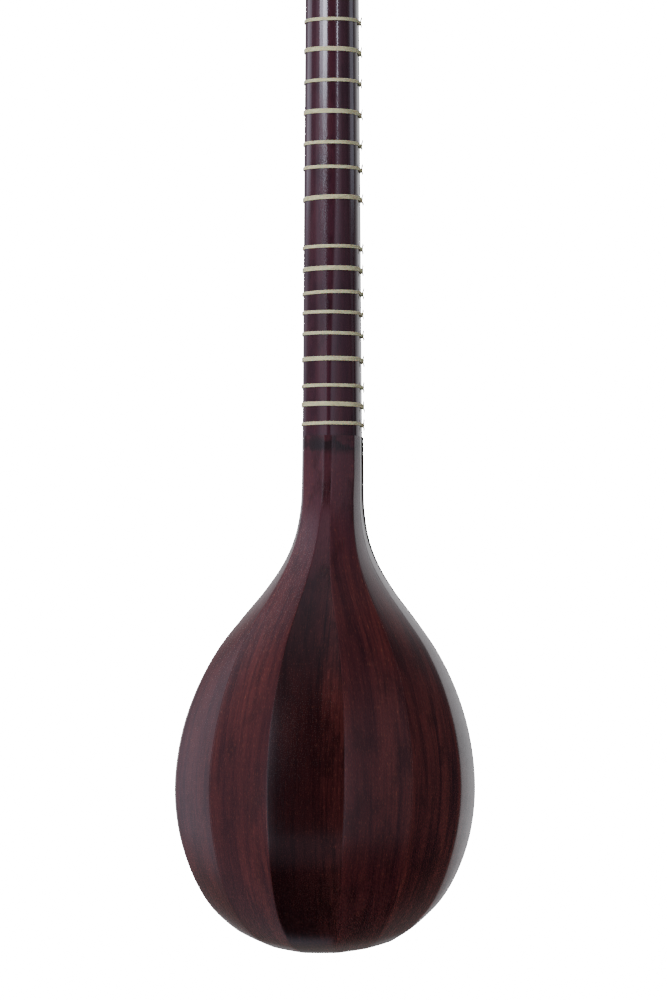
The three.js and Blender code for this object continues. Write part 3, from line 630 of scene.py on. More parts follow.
class Form:
    """Points, faces and grain places of one piece, gathered from several closed parts."""

    def __init__(self):
        self.points, self.faces, self.grain, self.edge = [], [], [], []

    def add_loft(self, rings, grain=None, edge=None, closed=False):
        """Rings of points, one after another; their own places are the grain if none is given."""
        rings = np.asarray(rings, float)
        points = rings.reshape(-1, 3)
        start = sum(len(part) for part in self.points)
        self.points.append(points)
        self.grain.append(points if grain is None else np.reshape(grain, (-1, 3)))
        self.edge.append(np.zeros(len(points)) if edge is None else np.ravel(edge))
        faces = ring_faces(*rings.shape[:2], closed)
        self.faces.extend([tuple(i + start for i in face) for face in faces])

    def add_tube(self, path, radii, sides, closed=False, offset=0.0):
        """A round tube along a path, with its grain winding with it."""
        radii = np.broadcast_to(radii, len(path))
        if closed:
            ahead = unit(np.roll(path, -1, 0) - np.roll(path, 1, 0))
        else:
            ahead = unit(np.gradient(path, axis=0))
        over = np.cross(ahead[0], np.eye(3)[np.argmin(np.abs(ahead[0]))])
        angles = turn_angles(sides)
        rings, grain, length = [], [], offset
        for i, (point, forward) in enumerate(zip(path, ahead)):
            over = over - forward * np.dot(over, forward)
            over /= np.linalg.norm(over)
            side = np.cross(forward, over)
            around = np.cos(angles)[:, None] * over + np.sin(angles)[:, None] * side
            rings.append(point + around * radii[i])
            if i:
                length += np.linalg.norm(point - path[i - 1])
            wound = angles + length * GUT_TWIST
            grain.append(np.stack((
                np.cos(wound) * radii[i] + offset, np.sin(wound) * radii[i],
                np.full(sides, length)), 1))
        self.add_loft(rings, grain, closed=closed)

    def mesh(self, name):
        points = np.concatenate(self.points) - (0, 0, ORIGIN_HEIGHT)
        made = bpy.data.meshes.new(name)
        made.from_pydata((points * MM).tolist(), [], self.faces)
        face_outwards(made)
        return made

    def piece(self, name, material, node, body="instrument", sharp=40.0):
        """The finished piece, which stands for its CAD node and rides on its body."""
        mesh = self.mesh(name)
        for label, kind, field, values in (
                ("grain", "FLOAT_VECTOR", "vector", self.grain),
                ("edge", "FLOAT", "value", self.edge)):
            values = np.concatenate(values).astype(np.float32)
            mesh.attributes.new(label, kind, "POINT").data.foreach_set(field, values.ravel())
        mesh.materials.append(material)
        mesh.shade_smooth()
        mesh.set_sharp_from_angle(angle=math.radians(sharp))
        made = add_object(name, mesh)
        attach(made, body)
        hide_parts(node)
        return made


def face_outwards(mesh):
    """Turns a closed mesh's faces outwards."""
    points = np.array([vertex.co for vertex in mesh.vertices])
    volume = 0.0
    for polygon in mesh.polygons:
        corners = points[list(polygon.vertices)]
        fan = np.cross(corners[1:-1], corners[2:])
        volume += float((fan @ corners[0]).sum())
    if volume < 0:
        mesh.flip_normals()


def lofted(name, material, node, rings, grain=None, edge=None, sharp=40.0,
           body="instrument"):
    """A piece of one run of rings; unless given, its grain follows from its own places."""
    if grain is None:
        grain = np.array(rings) + (GRAIN_STARTS.get(node, 0.0), 0, 0)
    form = Form()
    form.add_loft(rings, grain, edge)
    return form.piece(name, material, node, body, sharp)


def cut(made, cutters, grain_start):
    """Takes round cutters out of a piece for good; its grain lies along its height."""
    form = Form()
    for cutter in cutters:
        form.add_loft(cutter)
    tool = add_object("cutter", form.mesh("cutter"))
    holes = made.modifiers.new("holes", "BOOLEAN")
    holes.operation = "DIFFERENCE"
    holes.solver = "EXACT"
    holes.object = tool
    bpy.context.view_layer.update()
    evaluated = made.evaluated_get(bpy.context.evaluated_depsgraph_get())
    finished = bpy.data.meshes.new_from_object(evaluated)
    made.modifiers.clear()
    places = np.empty(len(finished.vertices) * 3, np.float32)
    finished.vertices.foreach_get("co", places)
    start = np.array((grain_start, 0, ORIGIN_HEIGHT), np.float32)
    grain = places.reshape(-1, 3) / MM + start
    finished.attributes["grain"].data.foreach_set("vector", grain.ravel())
    used_meshes = (made.data, tool.data)
    made.data = finished
    bpy.data.objects.remove(tool)
    for mesh in used_meshes:
        bpy.data.meshes.remove(mesh)


# The bowl

def bowl_places(steps):
    """Places in the table of sections, closer together towards the tail."""
    return LAST_PLACE * (np.arange(steps + 1) / steps) ** TAIL_CROWDING


def seam_points(sections, seam):
    """A seam's points across the bowl and into its depth."""
    side = -1 if seam < SEAMS else 1
    index = seam if seam < SEAMS else STAVES - seam
    draw = sections[:, 5]
    width = between(BOWL_SEAM_WIDTHS[index], NECK_SEAM_WIDTHS[index], draw)
    depth = between(BOWL_SEAM_DEPTHS[index], NECK_SEAM_DEPTHS[index], draw)
    wide = sections[:, 2] if index == 0 else sections[:, 3] * width
    return np.stack((side * wide * BOWL_HALF_WIDTH, sections[:, 4] * BOWL_DEPTH * depth), -1)


def bowl_points(places, stave, shares):
    """Points of the bowl's outside, and the width of the stave there."""
    sections = spline(BOWL_SECTIONS, places)
    start, end = seam_points(sections, stave), seam_points(sections, stave + 1)
    chord = end - start
    crown = between(BOWL_CROWN, NECK_CROWNS[min(stave, STAVES - 1 - stave)], sections[:, 5])
    shares = np.atleast_1d(shares)
    shares = np.broadcast_to(shares, (len(places), shares.shape[-1]))
    out = np.stack((-chord[:, 1], chord[:, 0]), -1)[:, None]
    rise = (4 * crown[:, None] * shares * (1 - shares))[..., None]
    flat = start[:, None] + chord[:, None] * shares[..., None] + out * rise
    deep = flat[..., 1] / (sections[:, 4:5] * BOWL_DEPTH)
    height = between(sections[:, :1], sections[:, 1:2], deep)
    points = np.concatenate((flat, height[..., None] * BOWL_LENGTH), -1)
    return points, np.linalg.norm(chord, axis=1)


def bowl_inward(places, stave, shares):
    """Directions into the bowl at points of its outside."""
    probe = 0.02
    low, high = np.maximum(places - probe, 0), np.minimum(places + probe, LAST_PLACE)
    up = bowl_points(high, stave, shares)[0] - bowl_points(low, stave, shares)[0]
    left, right = np.maximum(shares - probe, 0), np.minimum(shares + probe, 1)
    across = bowl_points(places, stave, right)[0] - bowl_points(places, stave, left)[0]
    normal = unit(np.cross(across, up))
    normal[places >= LAST_PLACE, :, 2] = 0
    return unit(normal)


def seam_inward(places, seam):
    """Directions into the bowl along a seam, shared by the staves beside it."""
    total = np.zeros((len(places), 3))
    if seam > 0:
        total += bowl_inward(places, seam - 1, 1.0)[:, 0]
    if seam < STAVES:
        total += bowl_inward(places, seam, 0.0)[:, 0]
    if seam in (0, STAVES):
        total[:, 1] = 0
    return unit(total)


def stave_shares(width, radius):
    """Shares across a stave, with extra ones on its rounded edges, and how far each drops."""
    edge = np.minimum(STAVE_EDGE[None] * radius, width[:, None] * 0.4) / width[:, None]
    plain = np.arange(1, STAVE_COLUMNS + 1) / (STAVE_COLUMNS + 1)
    middle = edge[:, -1:] + (1 - 2 * edge[:, -1:]) * plain[None]
    drop = radius * 0.3 * rounded_drop(STAVE_EDGE)
    drop = np.concatenate((drop, np.zeros(STAVE_COLUMNS), drop[::-1]))
    return np.concatenate((edge, middle, 1 - edge[:, ::-1]), 1), drop


def stave_label(stave):
    """A stave's name, counted outwards from the middle one."""
    from_middle = stave - (SEAMS - 1)
    if from_middle == 0:
        return "center"
    return f"{'bass' if from_middle < 0 else 'treble'}_{abs(from_middle)}"


def make_stave(stave, sizes, material):
    places = bowl_places(sizes.stave_steps)
    width = bowl_points(places, stave, (0.0, 1.0))[1]
    shares, drop = stave_shares(width, sizes.seam_rounding / MM)
    if stave == 0:
        drop[:len(STAVE_EDGE)] = 0
    if stave == STAVES - 1:
        drop[-len(STAVE_EDGE):] = 0
    bare = bowl_points(places, stave, shares)[0]
    outer = bare + bowl_inward(places, stave, shares) * drop[None, :, None]
    middle = bowl_points(places, stave, 0.5)[0][:, 0]
    inner = np.stack((
        bare[:, -1] + seam_inward(places, stave + 1) * RIB_THICKNESS,
        middle + bowl_inward(places, stave, 0.5)[:, 0] * RIB_THICKNESS,
        bare[:, 0] + seam_inward(places, stave) * RIB_THICKNESS), 1)
    inset = unit(bare[:, -1] - bare[:, 0]) * sizes.seam_gap / MM / 2
    if stave > 0:
        outer[:, 0] += inset
        inner[:, 2] += inset
    if stave < STAVES - 1:
        outer[:, -1] -= inset
        inner[:, 0] -= inset
    across = (shares - 0.5) * width[:, None]
    across = np.concatenate((across, across[:, -1:], 0 * across[:, :1], across[:, :1]), 1)
    through = np.zeros_like(across)
    through[:, -3:] = RIB_THICKNESS
    along = np.broadcast_to(middle[:, 2:3], across.shape)
    grain = np.stack((across + stave * GRAIN_STEP, through, along), -1)
    label = stave_label(stave)
    return lofted(f"stave_{label}", material, f"rib_{label}",
                  np.concatenate((outer, inner), 1), grain, sharp=25.0)


def make_tail_cap(material):
    """A small dome where the staves meet at the tail."""
    tail = np.zeros(1)
    steps = np.linspace(0, 1, 7)[:-1]
    opening = [bowl_points(tail, stave, steps)[0][0] for stave in range(STAVES)]
    opening = np.concatenate((*opening, bowl_points(tail, STAVES - 1, 1.0)[0][0]))
    rings = []
    for size, drop in TAIL_CAP:
        ring = between(opening.mean(0), opening, size) - (0, 0, drop)
        ring[:, 1] = np.maximum(ring[:, 1], 0)
        rings.append(ring)
    return lofted("tail_cap", material, "tail_clasp", rings)


# Flat pieces

def rounded_ring(half, front, radius, columns):
    """A flat piece's section: square at its back, rounded at its front edges."""
    angles = np.linspace(0, math.pi / 2, ROUNDING_STEPS + 1)
    right = [(half - radius + radius * math.cos(a), front + radius - radius * math.sin(a))
             for a in angles]
    face = [(x, front) for x in np.linspace(half - radius, radius - half, columns + 1)[1:-1]]
    left = [(-x, y) for x, y in reversed(right)]
    return [(half, 0.0), *right, *face, *left, (-half, 0.0)]


def flat_rings(heights, halves, thickness, sizes, columns=8):
    """Rings of a flat piece along its height, with the front edge rounded at both ends."""
    radius = sizes.edge_rounding / MM
    rings = []
    for z, half in zip(heights, halves):
        ring = rounded_ring(half, -thickness, min(radius, half * 0.45), columns)
        rings.append([(x, y, z) for x, y in ring])
    rings = np.array(rings)
    fallen = radius * 0.7
    for end, inner in ((0, 1), (-1, -2)):
        extra = rings[end].copy()
        extra[extra[:, 1] < radius - thickness, 1] += fallen
        rings[end][:, 2] -= np.sign(heights[end] - heights[inner]) * fallen
        rings = np.concatenate((rings, extra[None]) if end else (extra[None], rings))
    return rings


def make_soundboard(sizes, material):
    """The soundboard with its dark edge, its sound holes cut through."""
    rim = bowl_points(bowl_places(BOARD_STEPS), 0, 0.0)[0][:, 0]
    halves = sizes.board_overhang / MM - rim[:, 0]
    rings = flat_rings(rim[:, 2], halves, BOARD_THICKNESS, sizes, 10)
    edge = np.zeros(rings.shape[:2])
    edge[:, :ROUNDING_STEPS + 1] = 1
    edge[:, -ROUNDING_STEPS - 1:] = 1
    board = lofted("board_front", material, "soundboard", rings, edge=edge,
                   sharp=35.0)
    span = (-BORE_MARGIN, BOARD_THICKNESS + BORE_MARGIN)
    hole = turned([(place, SOUND_HOLE_RADIUS) for place in span], SOUND_HOLE_SIDES)
    cutters = []
    for across, up in SOUND_HOLE_STEPS:
        centre = (across * SOUND_HOLE_SPACING, 0, SOUND_HOLE_PLACE + up * SOUND_HOLE_SPACING)
        cutters.append(laid(hole, centre, (0, -1.0, 0)))
    cut(board, cutters, GRAIN_STARTS["soundboard"])


# Neck and head

def neck_section(height):
    """The neck's half width and depth at a height, and how far its back is ridged."""
    share = np.clip((height - BOWL_LENGTH) / (NUT_PLACE - BOWL_LENGTH), 0, 1)
    ridge = 1 - smoothstep(height, BOWL_LENGTH, BOWL_LENGTH + RIDGE_LENGTH)
    return between(*NECK_WIDTHS, share) / 2, between(*NECK_DEPTHS, share), ridge


def neck_back(height):
    """The back of the neck's outline, from the treble side to the bass side."""
    half, depth, ridge = neck_section(height)
    angles = np.linspace(0, math.pi, BACK_STEPS + 1)
    cosine, sine = np.cos(angles), np.maximum(np.sin(angles), 0)
    wide = np.sign(cosine) * np.abs(cosine) ** (2 / BACK_POWER)
    deep = between(NECK_SIDE_SHARE, 1, sine ** (2 / BACK_POWER))
    table = np.concatenate((JOINT_OUTLINE, JOINT_OUTLINE[-2::-1] * (-1, 1)))
    corners = np.arange(len(table))
    joint = resample(table, corners, np.linspace(0, corners[-1], BACK_STEPS + 1))
    padded = np.pad(joint, ((BACK_SOFTENING, BACK_SOFTENING), (0, 0)), mode="edge")
    kernel = np.ones(2 * BACK_SOFTENING + 1) / (2 * BACK_SOFTENING + 1)
    softened = np.stack([np.convolve(padded[:, k], kernel, mode="valid") for k in (0, 1)], 1)
    steps = np.arange(BACK_STEPS + 1)
    ends = np.minimum(steps, BACK_STEPS - steps)[:, None] / BACK_SOFTENING
    joint = between(joint, softened, np.clip(ends, 0, 1))
    return between(np.stack((wide, deep), 1), joint, ridge) * (half, depth)


def neck_ring(height):
    """The neck's whole outline at a height."""
    back, half = neck_back(height), neck_section(height)[0]
    side = np.linspace(0, back[0, 1], 6)[:-1]
    right = [(half, y) for y in side]
    left = [(-half, y) for y in side[::-1]]
    face = [(x, 0.0) for x in np.linspace(-half, half, 8)[1:-1]]
    ring = np.array([*right, *back, *left, *face])
    return np.column_stack((ring, np.full(len(ring), height)))


def peg_frame(peg):
    """The middle of the bore where the knob's end leaves it, its axis and its length."""
    _, on_side, across, up = peg
    if on_side:
        return (-NECK_WIDTHS[1] / 2, across, NUT_PLACE + up), (-1.0, 0, 0), NECK_WIDTHS[1]
    length = NECK_DEPTHS[1] + PLATE_THICKNESS
    return (across, -PLATE_THICKNESS, NUT_PLACE + up), (0, -1.0, 0), length


def shaft_radius(bore, place):
    """Radius of a peg's tapered shaft at a place on its axis."""
    tip = -bore - PEG_TIP_REACH
    return between(PEG_TIP_RADIUS, PEG_SHAFT_RADIUS, (place - tip) / (PEG_EXPOSURE - tip))


def peg_cutter(peg):
    centre, axis, bore = peg_frame(peg)
    span = (-bore - BORE_MARGIN, BORE_MARGIN)
    outline = [(place, shaft_radius(bore, place) + PEG_CLEARANCE) for place in span]
    return laid(turned(outline, BORE_SIDES), centre, axis)


def make_neck(material):
    """The neck and the head in one, with the pegs' bores, its top end rounded over."""
    heights = np.concatenate((
        np.linspace(BOWL_LENGTH, BOWL_LENGTH + RIDGE_LENGTH, 40),
        np.linspace(BOWL_LENGTH + RIDGE_LENGTH, NUT_PLACE, 40)[1:],
        np.linspace(NUT_PLACE, HEAD_TOP - HEAD_TIP_LENGTH, 30)[1:]))
    rings = [neck_ring(z) for z in heights]
    last = rings[-1]
    for turn in np.linspace(0, math.pi / 2, 7)[1:]:
        size = 1 - HEAD_TIP_NARROWING * (1 - math.cos(turn))
        rings.append(last * (size, size, 1) + (0, 0, HEAD_TIP_LENGTH * math.sin(turn)))
    neck = lofted("neck_back", material, "neck", rings, sharp=35.0)
    cut(neck, [peg_cutter(peg) for peg in PEGS], GRAIN_STARTS["neck"])
    return neck


def make_plate(name, node, heights, sizes, material):
    """A thin plate on the front of the neck or the head."""
    halves = [neck_section(z)[0] for z in heights]
    rings = flat_rings(heights, halves, PLATE_THICKNESS, sizes)
    return lofted(name, material, node, rings, sharp=35.0)


def make_fingerboard(sizes, material):
    heights = np.linspace(BOWL_LENGTH, NUT_PLACE - NUT_THICKNESS / 2, 60)
    make_plate("fingerboard_face", "fingerboard", heights, sizes, material)


def make_head_face(sizes, material):
    heights = np.linspace(NUT_PLACE + NUT_THICKNESS / 2, HEAD_TOP - HEAD_TIP_LENGTH, 40)
    face = make_plate("head_face", "head_plate", heights, sizes, material)
    cut(face, [peg_cutter(peg) for peg in PEGS if not peg[1]], GRAIN_STARTS["head_plate"])


def lofted_across(name, material, node, rings, place, sharp):
    """A piece whose rings follow one another across the instrument, as its grain does."""
    rings = np.array(rings) + (0, 0, place)
    grain = rings[..., [1, 2, 0]] + (GRAIN_STARTS.get(node, 0.0), 0, 0)
    return lofted(name, material, node, rings, grain, sharp=sharp)


def make_nut(material):
    """The bone nut, with a slot for each string and a rounded crest."""
    half, deep = NECK_WIDTHS[1] / 2, NUT_THICKNESS / 2
    columns = np.linspace(-half, half, NUT_COLUMNS)
    crest = np.full(len(columns), -PLATE_THICKNESS - NUT_HEIGHT)
    for place, depth in zip(STRING_PLACES_AT_NUT, NUT_SLOT_DEPTHS):
        crest += depth * groove(columns, place, NUT_SLOT_WIDTH)
    ends = np.clip((half - np.abs(columns)) / NUT_END_ROUNDING, 0, 1)
    crest += NUT_END_ROUNDING * rounded_drop(ends)
    rings = []
    for x, y in zip(columns, crest):
        ring = [(x, 0.0, -deep), (x, -PLATE_THICKNESS, -deep)]
        for a in np.linspace(0, math.pi, 9):
            drop = NUT_CREST_ROUNDING * (1 - math.sin(a))
            ring.append((x, y + drop, -deep * math.cos(a) * 0.98))
        ring.extend([(x, -PLATE_THICKNESS, deep), (x, 0.0, deep)])
        rings.append(ring)
    return lofted_across("nut_bone", material, "nut", rings, NUT_PLACE, 50.0)


def bridge_arch(x):
    """Height of the open arch under the bridge."""
    start = BRIDGE_LENGTH / 2 - BRIDGE_FOOT_LENGTH
    share = np.clip(np.abs(x) / start, 0, 1)
    return BRIDGE_HEIGHT * BRIDGE_ARCH_SHARE * (1 - share ** 3.2) ** 0.55


def make_bridge(material):
    """The bridge: two feet, an arch, and a thin slotted crest."""
    half = BRIDGE_LENGTH / 2
    depth, width = BRIDGE_SLOT
    rings = []
    for x in np.linspace(-half + 0.05, half - 0.05, BRIDGE_COLUMNS):
        low = bridge_arch(x)
        shoulder = (half - abs(x)) / (half * BRIDGE_SHOULDER_SHARE)
        least = max(low + BRIDGE_LEAST_WOOD, BRIDGE_END_HEIGHT)
        high = min(max(BRIDGE_HEIGHT * shoulder, least), BRIDGE_HEIGHT)
        if high > BRIDGE_HEIGHT - 0.01:
            high -= depth * sum(groove(x, place, width) for place in STRING_PLACES_AT_BRIDGE)
        ups = np.linspace(low, high, 7)
        thick = between(BRIDGE_FOOT_THICKNESS, BRIDGE_CREST_THICKNESS, ups / BRIDGE_HEIGHT)
        section = list(zip(-BOARD_THICKNESS - ups, thick / 2))
        rings.append([*((x, y, -t) for y, t in section),
                      *((x, y, t) for y, t in reversed(section))])
    return lofted_across("bridge_wood", material, "bridge", rings, BRIDGE_PLACE, 35.0)


def make_string_holder(material):
    """The bone string holder at the tail, rounded, with a groove for the loops of string."""
    width, height, length = HOLDER_SIZE
    depth, slot_width = HOLDER_SLOT
    corner = [(HOLDER_ROUNDING * (1 - math.sin(a)), HOLDER_ROUNDING * (1 - math.cos(a)))
              for a in np.linspace(0, math.pi / 2, 5)]
    rings = []
    for x in np.linspace(-width / 2, width / 2, HOLDER_COLUMNS):
        end = np.clip((width / 2 - abs(x)) / HOLDER_END_LENGTH, 0, 1)
        top = -BOARD_THICKNESS - height + HOLDER_ROUNDING * rounded_drop(end)
        notch = depth * sum(groove(x, place, slot_width) for place in STRING_PLACES_AT_BRIDGE)
        rings.append([
            (x, -BOARD_THICKNESS, 0.0),
            *((x, top + y, z) for y, z in corner),
            (x, top + 0.1 + notch, length * HOLDER_GROOVE_SHARE),
            *((x, top + notch * 0.6 + y, length - z) for y, z in reversed(corner)),
            (x, -BOARD_THICKNESS, length)])
    return lofted_across(
        "holder_bone", material, "string_holder", rings, HOLDER_PLACE, 50.0)


# Pegs

def make_peg(peg, material):
    """A turned peg with a beaded collar, a full knob and a small finial."""
    centre, axis, bore = peg_frame(peg)
    tip = -bore - PEG_TIP_REACH
    end = shaft_radius(bore, tip)
    outline = [(tip, 0.4), (tip, end - 0.35), (tip + 0.12, end - 0.1), (tip + 0.4, end)]
    for place in np.linspace(tip + 2, PEG_EXPOSURE - 0.4, 14):
        outline.append((place, shaft_radius(bore, place)))
    for along, out in spline(KNOB_OUTLINE, np.linspace(0, len(KNOB_OUTLINE) - 1, KNOB_STEPS)):
        outline.append((PEG_EXPOSURE + KNOB_LENGTH * along, KNOB_RADIUS * out))
    rings = turned(outline, PEG_SIDES)
    name = peg[0]
    return lofted(f"{name}_turned", material, name, laid(rings, centre, axis),
                  rings + (PEGS.index(peg) * PEG_GRAIN_STEP, 0, 0), body=f"{name}_turning")


# Frets

def taut_loop(height, distance, count):
    """A loop pulled tight round neck and fingerboard, starting at the knot."""
    half = neck_section(height)[0]
    corners = [(half, -PLATE_THICKNESS), (-half, -PLATE_THICKNESS), (half, 0), (-half, 0)]
    outline = np.concatenate((corners, neck_back(height)))
    angles = turn_angles(LOOP_DIRECTIONS)
    normals = np.stack((np.cos(angles), np.sin(angles)), 1)
    loop = outline[np.argmax(normals @ outline.T, axis=1)] + normals * distance
    closed = np.concatenate((loop, loop[:1]))
    lengths = np.concatenate(((0,), np.cumsum(np.linalg.norm(np.diff(closed, axis=0), axis=1))))
    places = np.linspace(0, lengths[-1], LOOP_POINTS)
    even = resample(closed, lengths, places)
    on_bass = np.where(even[:, 0] < -half * 0.6)[0]
    start = on_bass[np.argmin(np.abs(even[on_bass, 1] - KNOT_DEPTH))]
    wanted = places[start] + np.linspace(0, 1, count, endpoint=False) * lengths[-1]
    return resample(closed, lengths, wanted % lengths[-1])


def add_knot(form, index, middle, spread, radius, rng):
    """A knot of three crossing loops, with three cut strands over it and three under it."""
    turn = turn_angles(60)
    out, aside, along = KNOT_LOOPS
    loops = np.stack((
        out * np.sin(3 * turn),
        aside * (np.sin(turn) + 1.1 * np.sin(2 * turn)),
        spread * along * (np.cos(turn) - 1.35 * np.cos(2 * turn))), 1)
    form.add_tube(middle + loops, radius * 1.05, 7, closed=True, offset=index * 3.1)
    stem = np.linspace(0, 1, 7)[:, None]
    taper = radius * np.linspace(1.1, 0.85, 7)
    for way in (-1, 1):
        reach = rng.uniform(*END_REACH)
        lean = rng.uniform(*END_LEAN)
        base = middle + (-0.1, way * 0.25, way * spread * 0.5)
        for strand in range(END_STRANDS):
            side = (strand - 1) * 0.32
            spray = rng.uniform(-0.1, 0.1, 3)
            bend = np.array((-lean - 0.25 * abs(side) - side * 0.5, side, way * 1.0)) + spray
            run = base + unit(bend) * reach * stem * (1 - 0.14 * strand)
            form.add_tube(run, taper, 6, offset=strand + way)


def make_fret(index, sizes, material):
    """Gut wound round the neck turn by turn, made for the widest place it slides to."""
    share, turns, slope = FRETS[index]
    rng = np.random.default_rng(FRET_SEED + index)
    height = BRIDGE_PLACE + share * SCALE_LENGTH
    diameter = sizes.gut_diameter / MM
    radius = diameter / 2
    widest = height - FRET_TRAVEL - abs(slope) * neck_section(height)[0] * FRET_SLOPE_SHARE
    loop = taut_loop(widest, FRET_CLEARANCE + radius, TURN_STEPS)
    order = np.arange(turns * TURN_STEPS + 1)
    around = loop[order % TURN_STEPS]
    wound = (order / TURN_STEPS - turns / 2) * diameter * TURN_PITCH
    wave = TURN_WAVE * np.sin(order * 4 * math.pi / TURN_STEPS + rng.uniform(0, 6, 1))
    heights = height + wound + wave - slope * around[:, 0] * FRET_SLOPE_SHARE
    form = Form()
    form.add_tube(np.column_stack((around, heights)), radius, GUT_SIDES, offset=index * 5.3)
    half = neck_section(widest)[0]
    out = half + FRET_CLEARANCE + diameter * 1.7
    middle = np.array((-out, KNOT_DEPTH, height + slope * half * FRET_SLOPE_SHARE))
    add_knot(form, index, middle, turns * diameter / 2 + 0.15, radius, rng)
    fret = f"fret_{index + 1:02d}"
    return form.piece(fret.replace("fret", "gut"), material, fret, f"{fret}_band", 60.0)


# Operators

finishes = {}


def finish(name):
    if name not in finishes:
        raise RuntimeError(f"{name} isn't mixed yet: the finishes come first")
    return finishes[name]


class Step:
    """A step that builds one group of pieces in the open scene."""

    def execute(self, context):
        self.build(context.scene, context.scene.setar_sizes)
        return {"FINISHED"}


class SETAR_OT_finishes(Step, bpy.types.Operator):
    """Mixes the wood, gut, bone and metal finishes"""

    bl_idname = "setar.finishes"
    bl_label = "Mix Finishes"

    def build(self, scene, sizes):
        chosen = scene.setar_colours
        dark, red = tuple(chosen.walnut_dark), tuple(chosen.walnut_red)
        fleck = tuple(chosen.fleck)
        # The middle stave's grain is counted from here, and warms towards the bass side
        center_grain = (STAVES // 2) * GRAIN_STEP
        finishes.update({
            "dark_walnut": walnut("dark_walnut_lacquer", dark, red, fleck, 0.8),
            "red_walnut": walnut("red_walnut_lacquer", dark, tone(red, 1.1), fleck, 1.0),
            "center_walnut": walnut(
                "center_walnut_lacquer", tone(dark, 0.3), red, fleck, 0.2, fleck_share=0.6,
                throat_dark=tone(dark, 0.9), gloss=0.12, relief=0.05, throat_sheen_share=0.45,
                warm_side=(center_grain - 11, center_grain + 1)),
            "neck_walnut": walnut(
                "neck_walnut_lacquer", (0.017, 0.0048, 0.0092), tone(red, 0.8), fleck, 0.25,
                fleck_share=0.12, gloss=0.09, relief=0.015, throat_sheen_share=0.12),
            "mulberry": mulberry("mulberry_board", tuple(chosen.board)),
            "ebony": ebony("ebony_polished", tuple(chosen.ebony)),
            "bone": bone("bone_polished", tuple(chosen.bone)),
            "gut": gut("gut_twisted", tuple(chosen.gut)),
            "block_wood": plain_wood("block_wood_sawn", (0.42, 0.27, 0.13)),
            "steel_wire": wire_metal("steel_wire_drawn", (0.62, 0.63, 0.65), 0.2),
            "bronze_wire": wire_metal("bronze_wire_drawn", (0.55, 0.34, 0.13), 0.22),
        })


class SETAR_OT_bowl(Step, bpy.types.Operator):
    """Makes the nine staves and the cap at the tail"""

    bl_idname = "setar.bowl"
    bl_label = "Make Bowl"

    def build(self, scene, sizes):
        for stave in range(STAVES):
            name = "dark_walnut" if stave % 2 else "red_walnut"
            if stave == SEAMS - 1:
                name = "center_walnut"
            make_stave(stave, sizes, finish(name))
        make_tail_cap(finish("ebony"))


class SETAR_OT_board(Step, bpy.types.Operator):
    """Makes the soundboard with its sound holes, the bridge and the string holder"""

    bl_idname = "setar.board"
    bl_label = "Make Soundboard"

    def build(self, scene, sizes):
        make_soundboard(sizes, finish("mulberry"))
        make_bridge(finish("ebony"))
        make_string_holder(finish("bone"))


class SETAR_OT_neck(Step, bpy.types.Operator):
    """Makes the neck, fingerboard, head face and nut"""

    bl_idname = "setar.neck"
    bl_label = "Make Neck"

    def build(self, scene, sizes):
        neck = make_neck(finish("neck_walnut"))
        bpy.data.collections["neck_lit"].objects.link(neck)
        make_fingerboard(sizes, finish("ebony"))
        make_head_face(sizes, finish("ebony"))
        make_nut(finish("bone"))


class SETAR_OT_pegs(Step, bpy.types.Operator):
    """Makes the four turned pegs"""

    bl_idname = "setar.pegs"
    bl_label = "Make Pegs"

    def build(self, scene, sizes):
        for peg in PEGS:
            make_peg(peg, finish("ebony"))


class SETAR_OT_frets(Step, bpy.types.Operator):
    """Ties the gut frets, turn by turn, each with its knot"""

    bl_idname = "setar.frets"
    bl_label = "Tie Frets"

    def build(self, scene, sizes):
        for index in range(len(FRETS)):
            make_fret(index, sizes, finish("gut"))


class SETAR_OT_kept_parts(Step, bpy.types.Operator):
    """Finishes the parts that are shown as they are: blocks, brace, strings and windings"""

    bl_idname = "setar.kept_parts"
    bl_label = "Finish Kept Parts"

    def build(self, scene, sizes):
        dress = dict.fromkeys(("tail_block", "neck_block", "soundboard_brace"), "block_wood")
        for number in range(1, 5):
            metal = "bronze_wire" if number % 2 == 0 else "steel_wire"
            dress.update({f"string_{number}": metal, f"winding_{number}": metal})
        for node, material in dress.items():
            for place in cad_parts[node].material_slots:
                place.material = finish(material)


# Stage

CAMERA_ORBIT = 6.0
CAMERA_DISTANCE = 3300.0
CAMERA_HEIGHT = 110.5
SENSOR_HEIGHT = 36.0
IMAGE_SIZE = (667, 1000)
MM_PER_PIXEL = 0.515
HORIZON_PIXEL = 736.2
AXIS_PIXEL = 332.9
UP = Vector((0, 0, 1))

# Soft lights: name, turn from the camera, distance, size, heights of light and aim, power
SOFTBOXES = (
    ("soft_fill", -40.0, 2.0, (1.6, 1.6), (1.0, -0.45), 59.0),
    ("side_fill", 78.0, 1.8, (1.0, 1.6), (0.2, -0.35), 5.0),
    ("low_fill", -10.0, 1.3, (1.4, 0.8), (-1.85, -0.65), 8.0),
    ("front_fill", 205.0, 2.0, (1.6, 1.6), (0.7, -0.4), 52.0),
)

# Soft strips that the lacquer of the neck mirrors: name, turn, size, height and power
NECK_GLEAMS = (
    ("gleam_wide", -24.5, (0.5, 0.4), 0.12, 19.0),
    ("gleam_wide_fall", -42.0, (0.62, 0.4), 0.12, 10.0),
    ("gleam_line", 33.5, (0.05, 0.4), 0.12, 3.4),
    ("gleam_left_edge", -118.0, (0.9, 0.9), 0.25, 3.4),
    ("gleam_right_edge", 112.0, (0.6, 0.9), 0.25, 2.4),
    ("gleam_right_side", 99.0, (0.5, 1.1), 0.0, 0.5),
)
GLEAM_DISTANCE = 1.6
GLEAM_COLOUR = (0.8, 0.84, 1.0)
WHITE_STRENGTH = 24.0


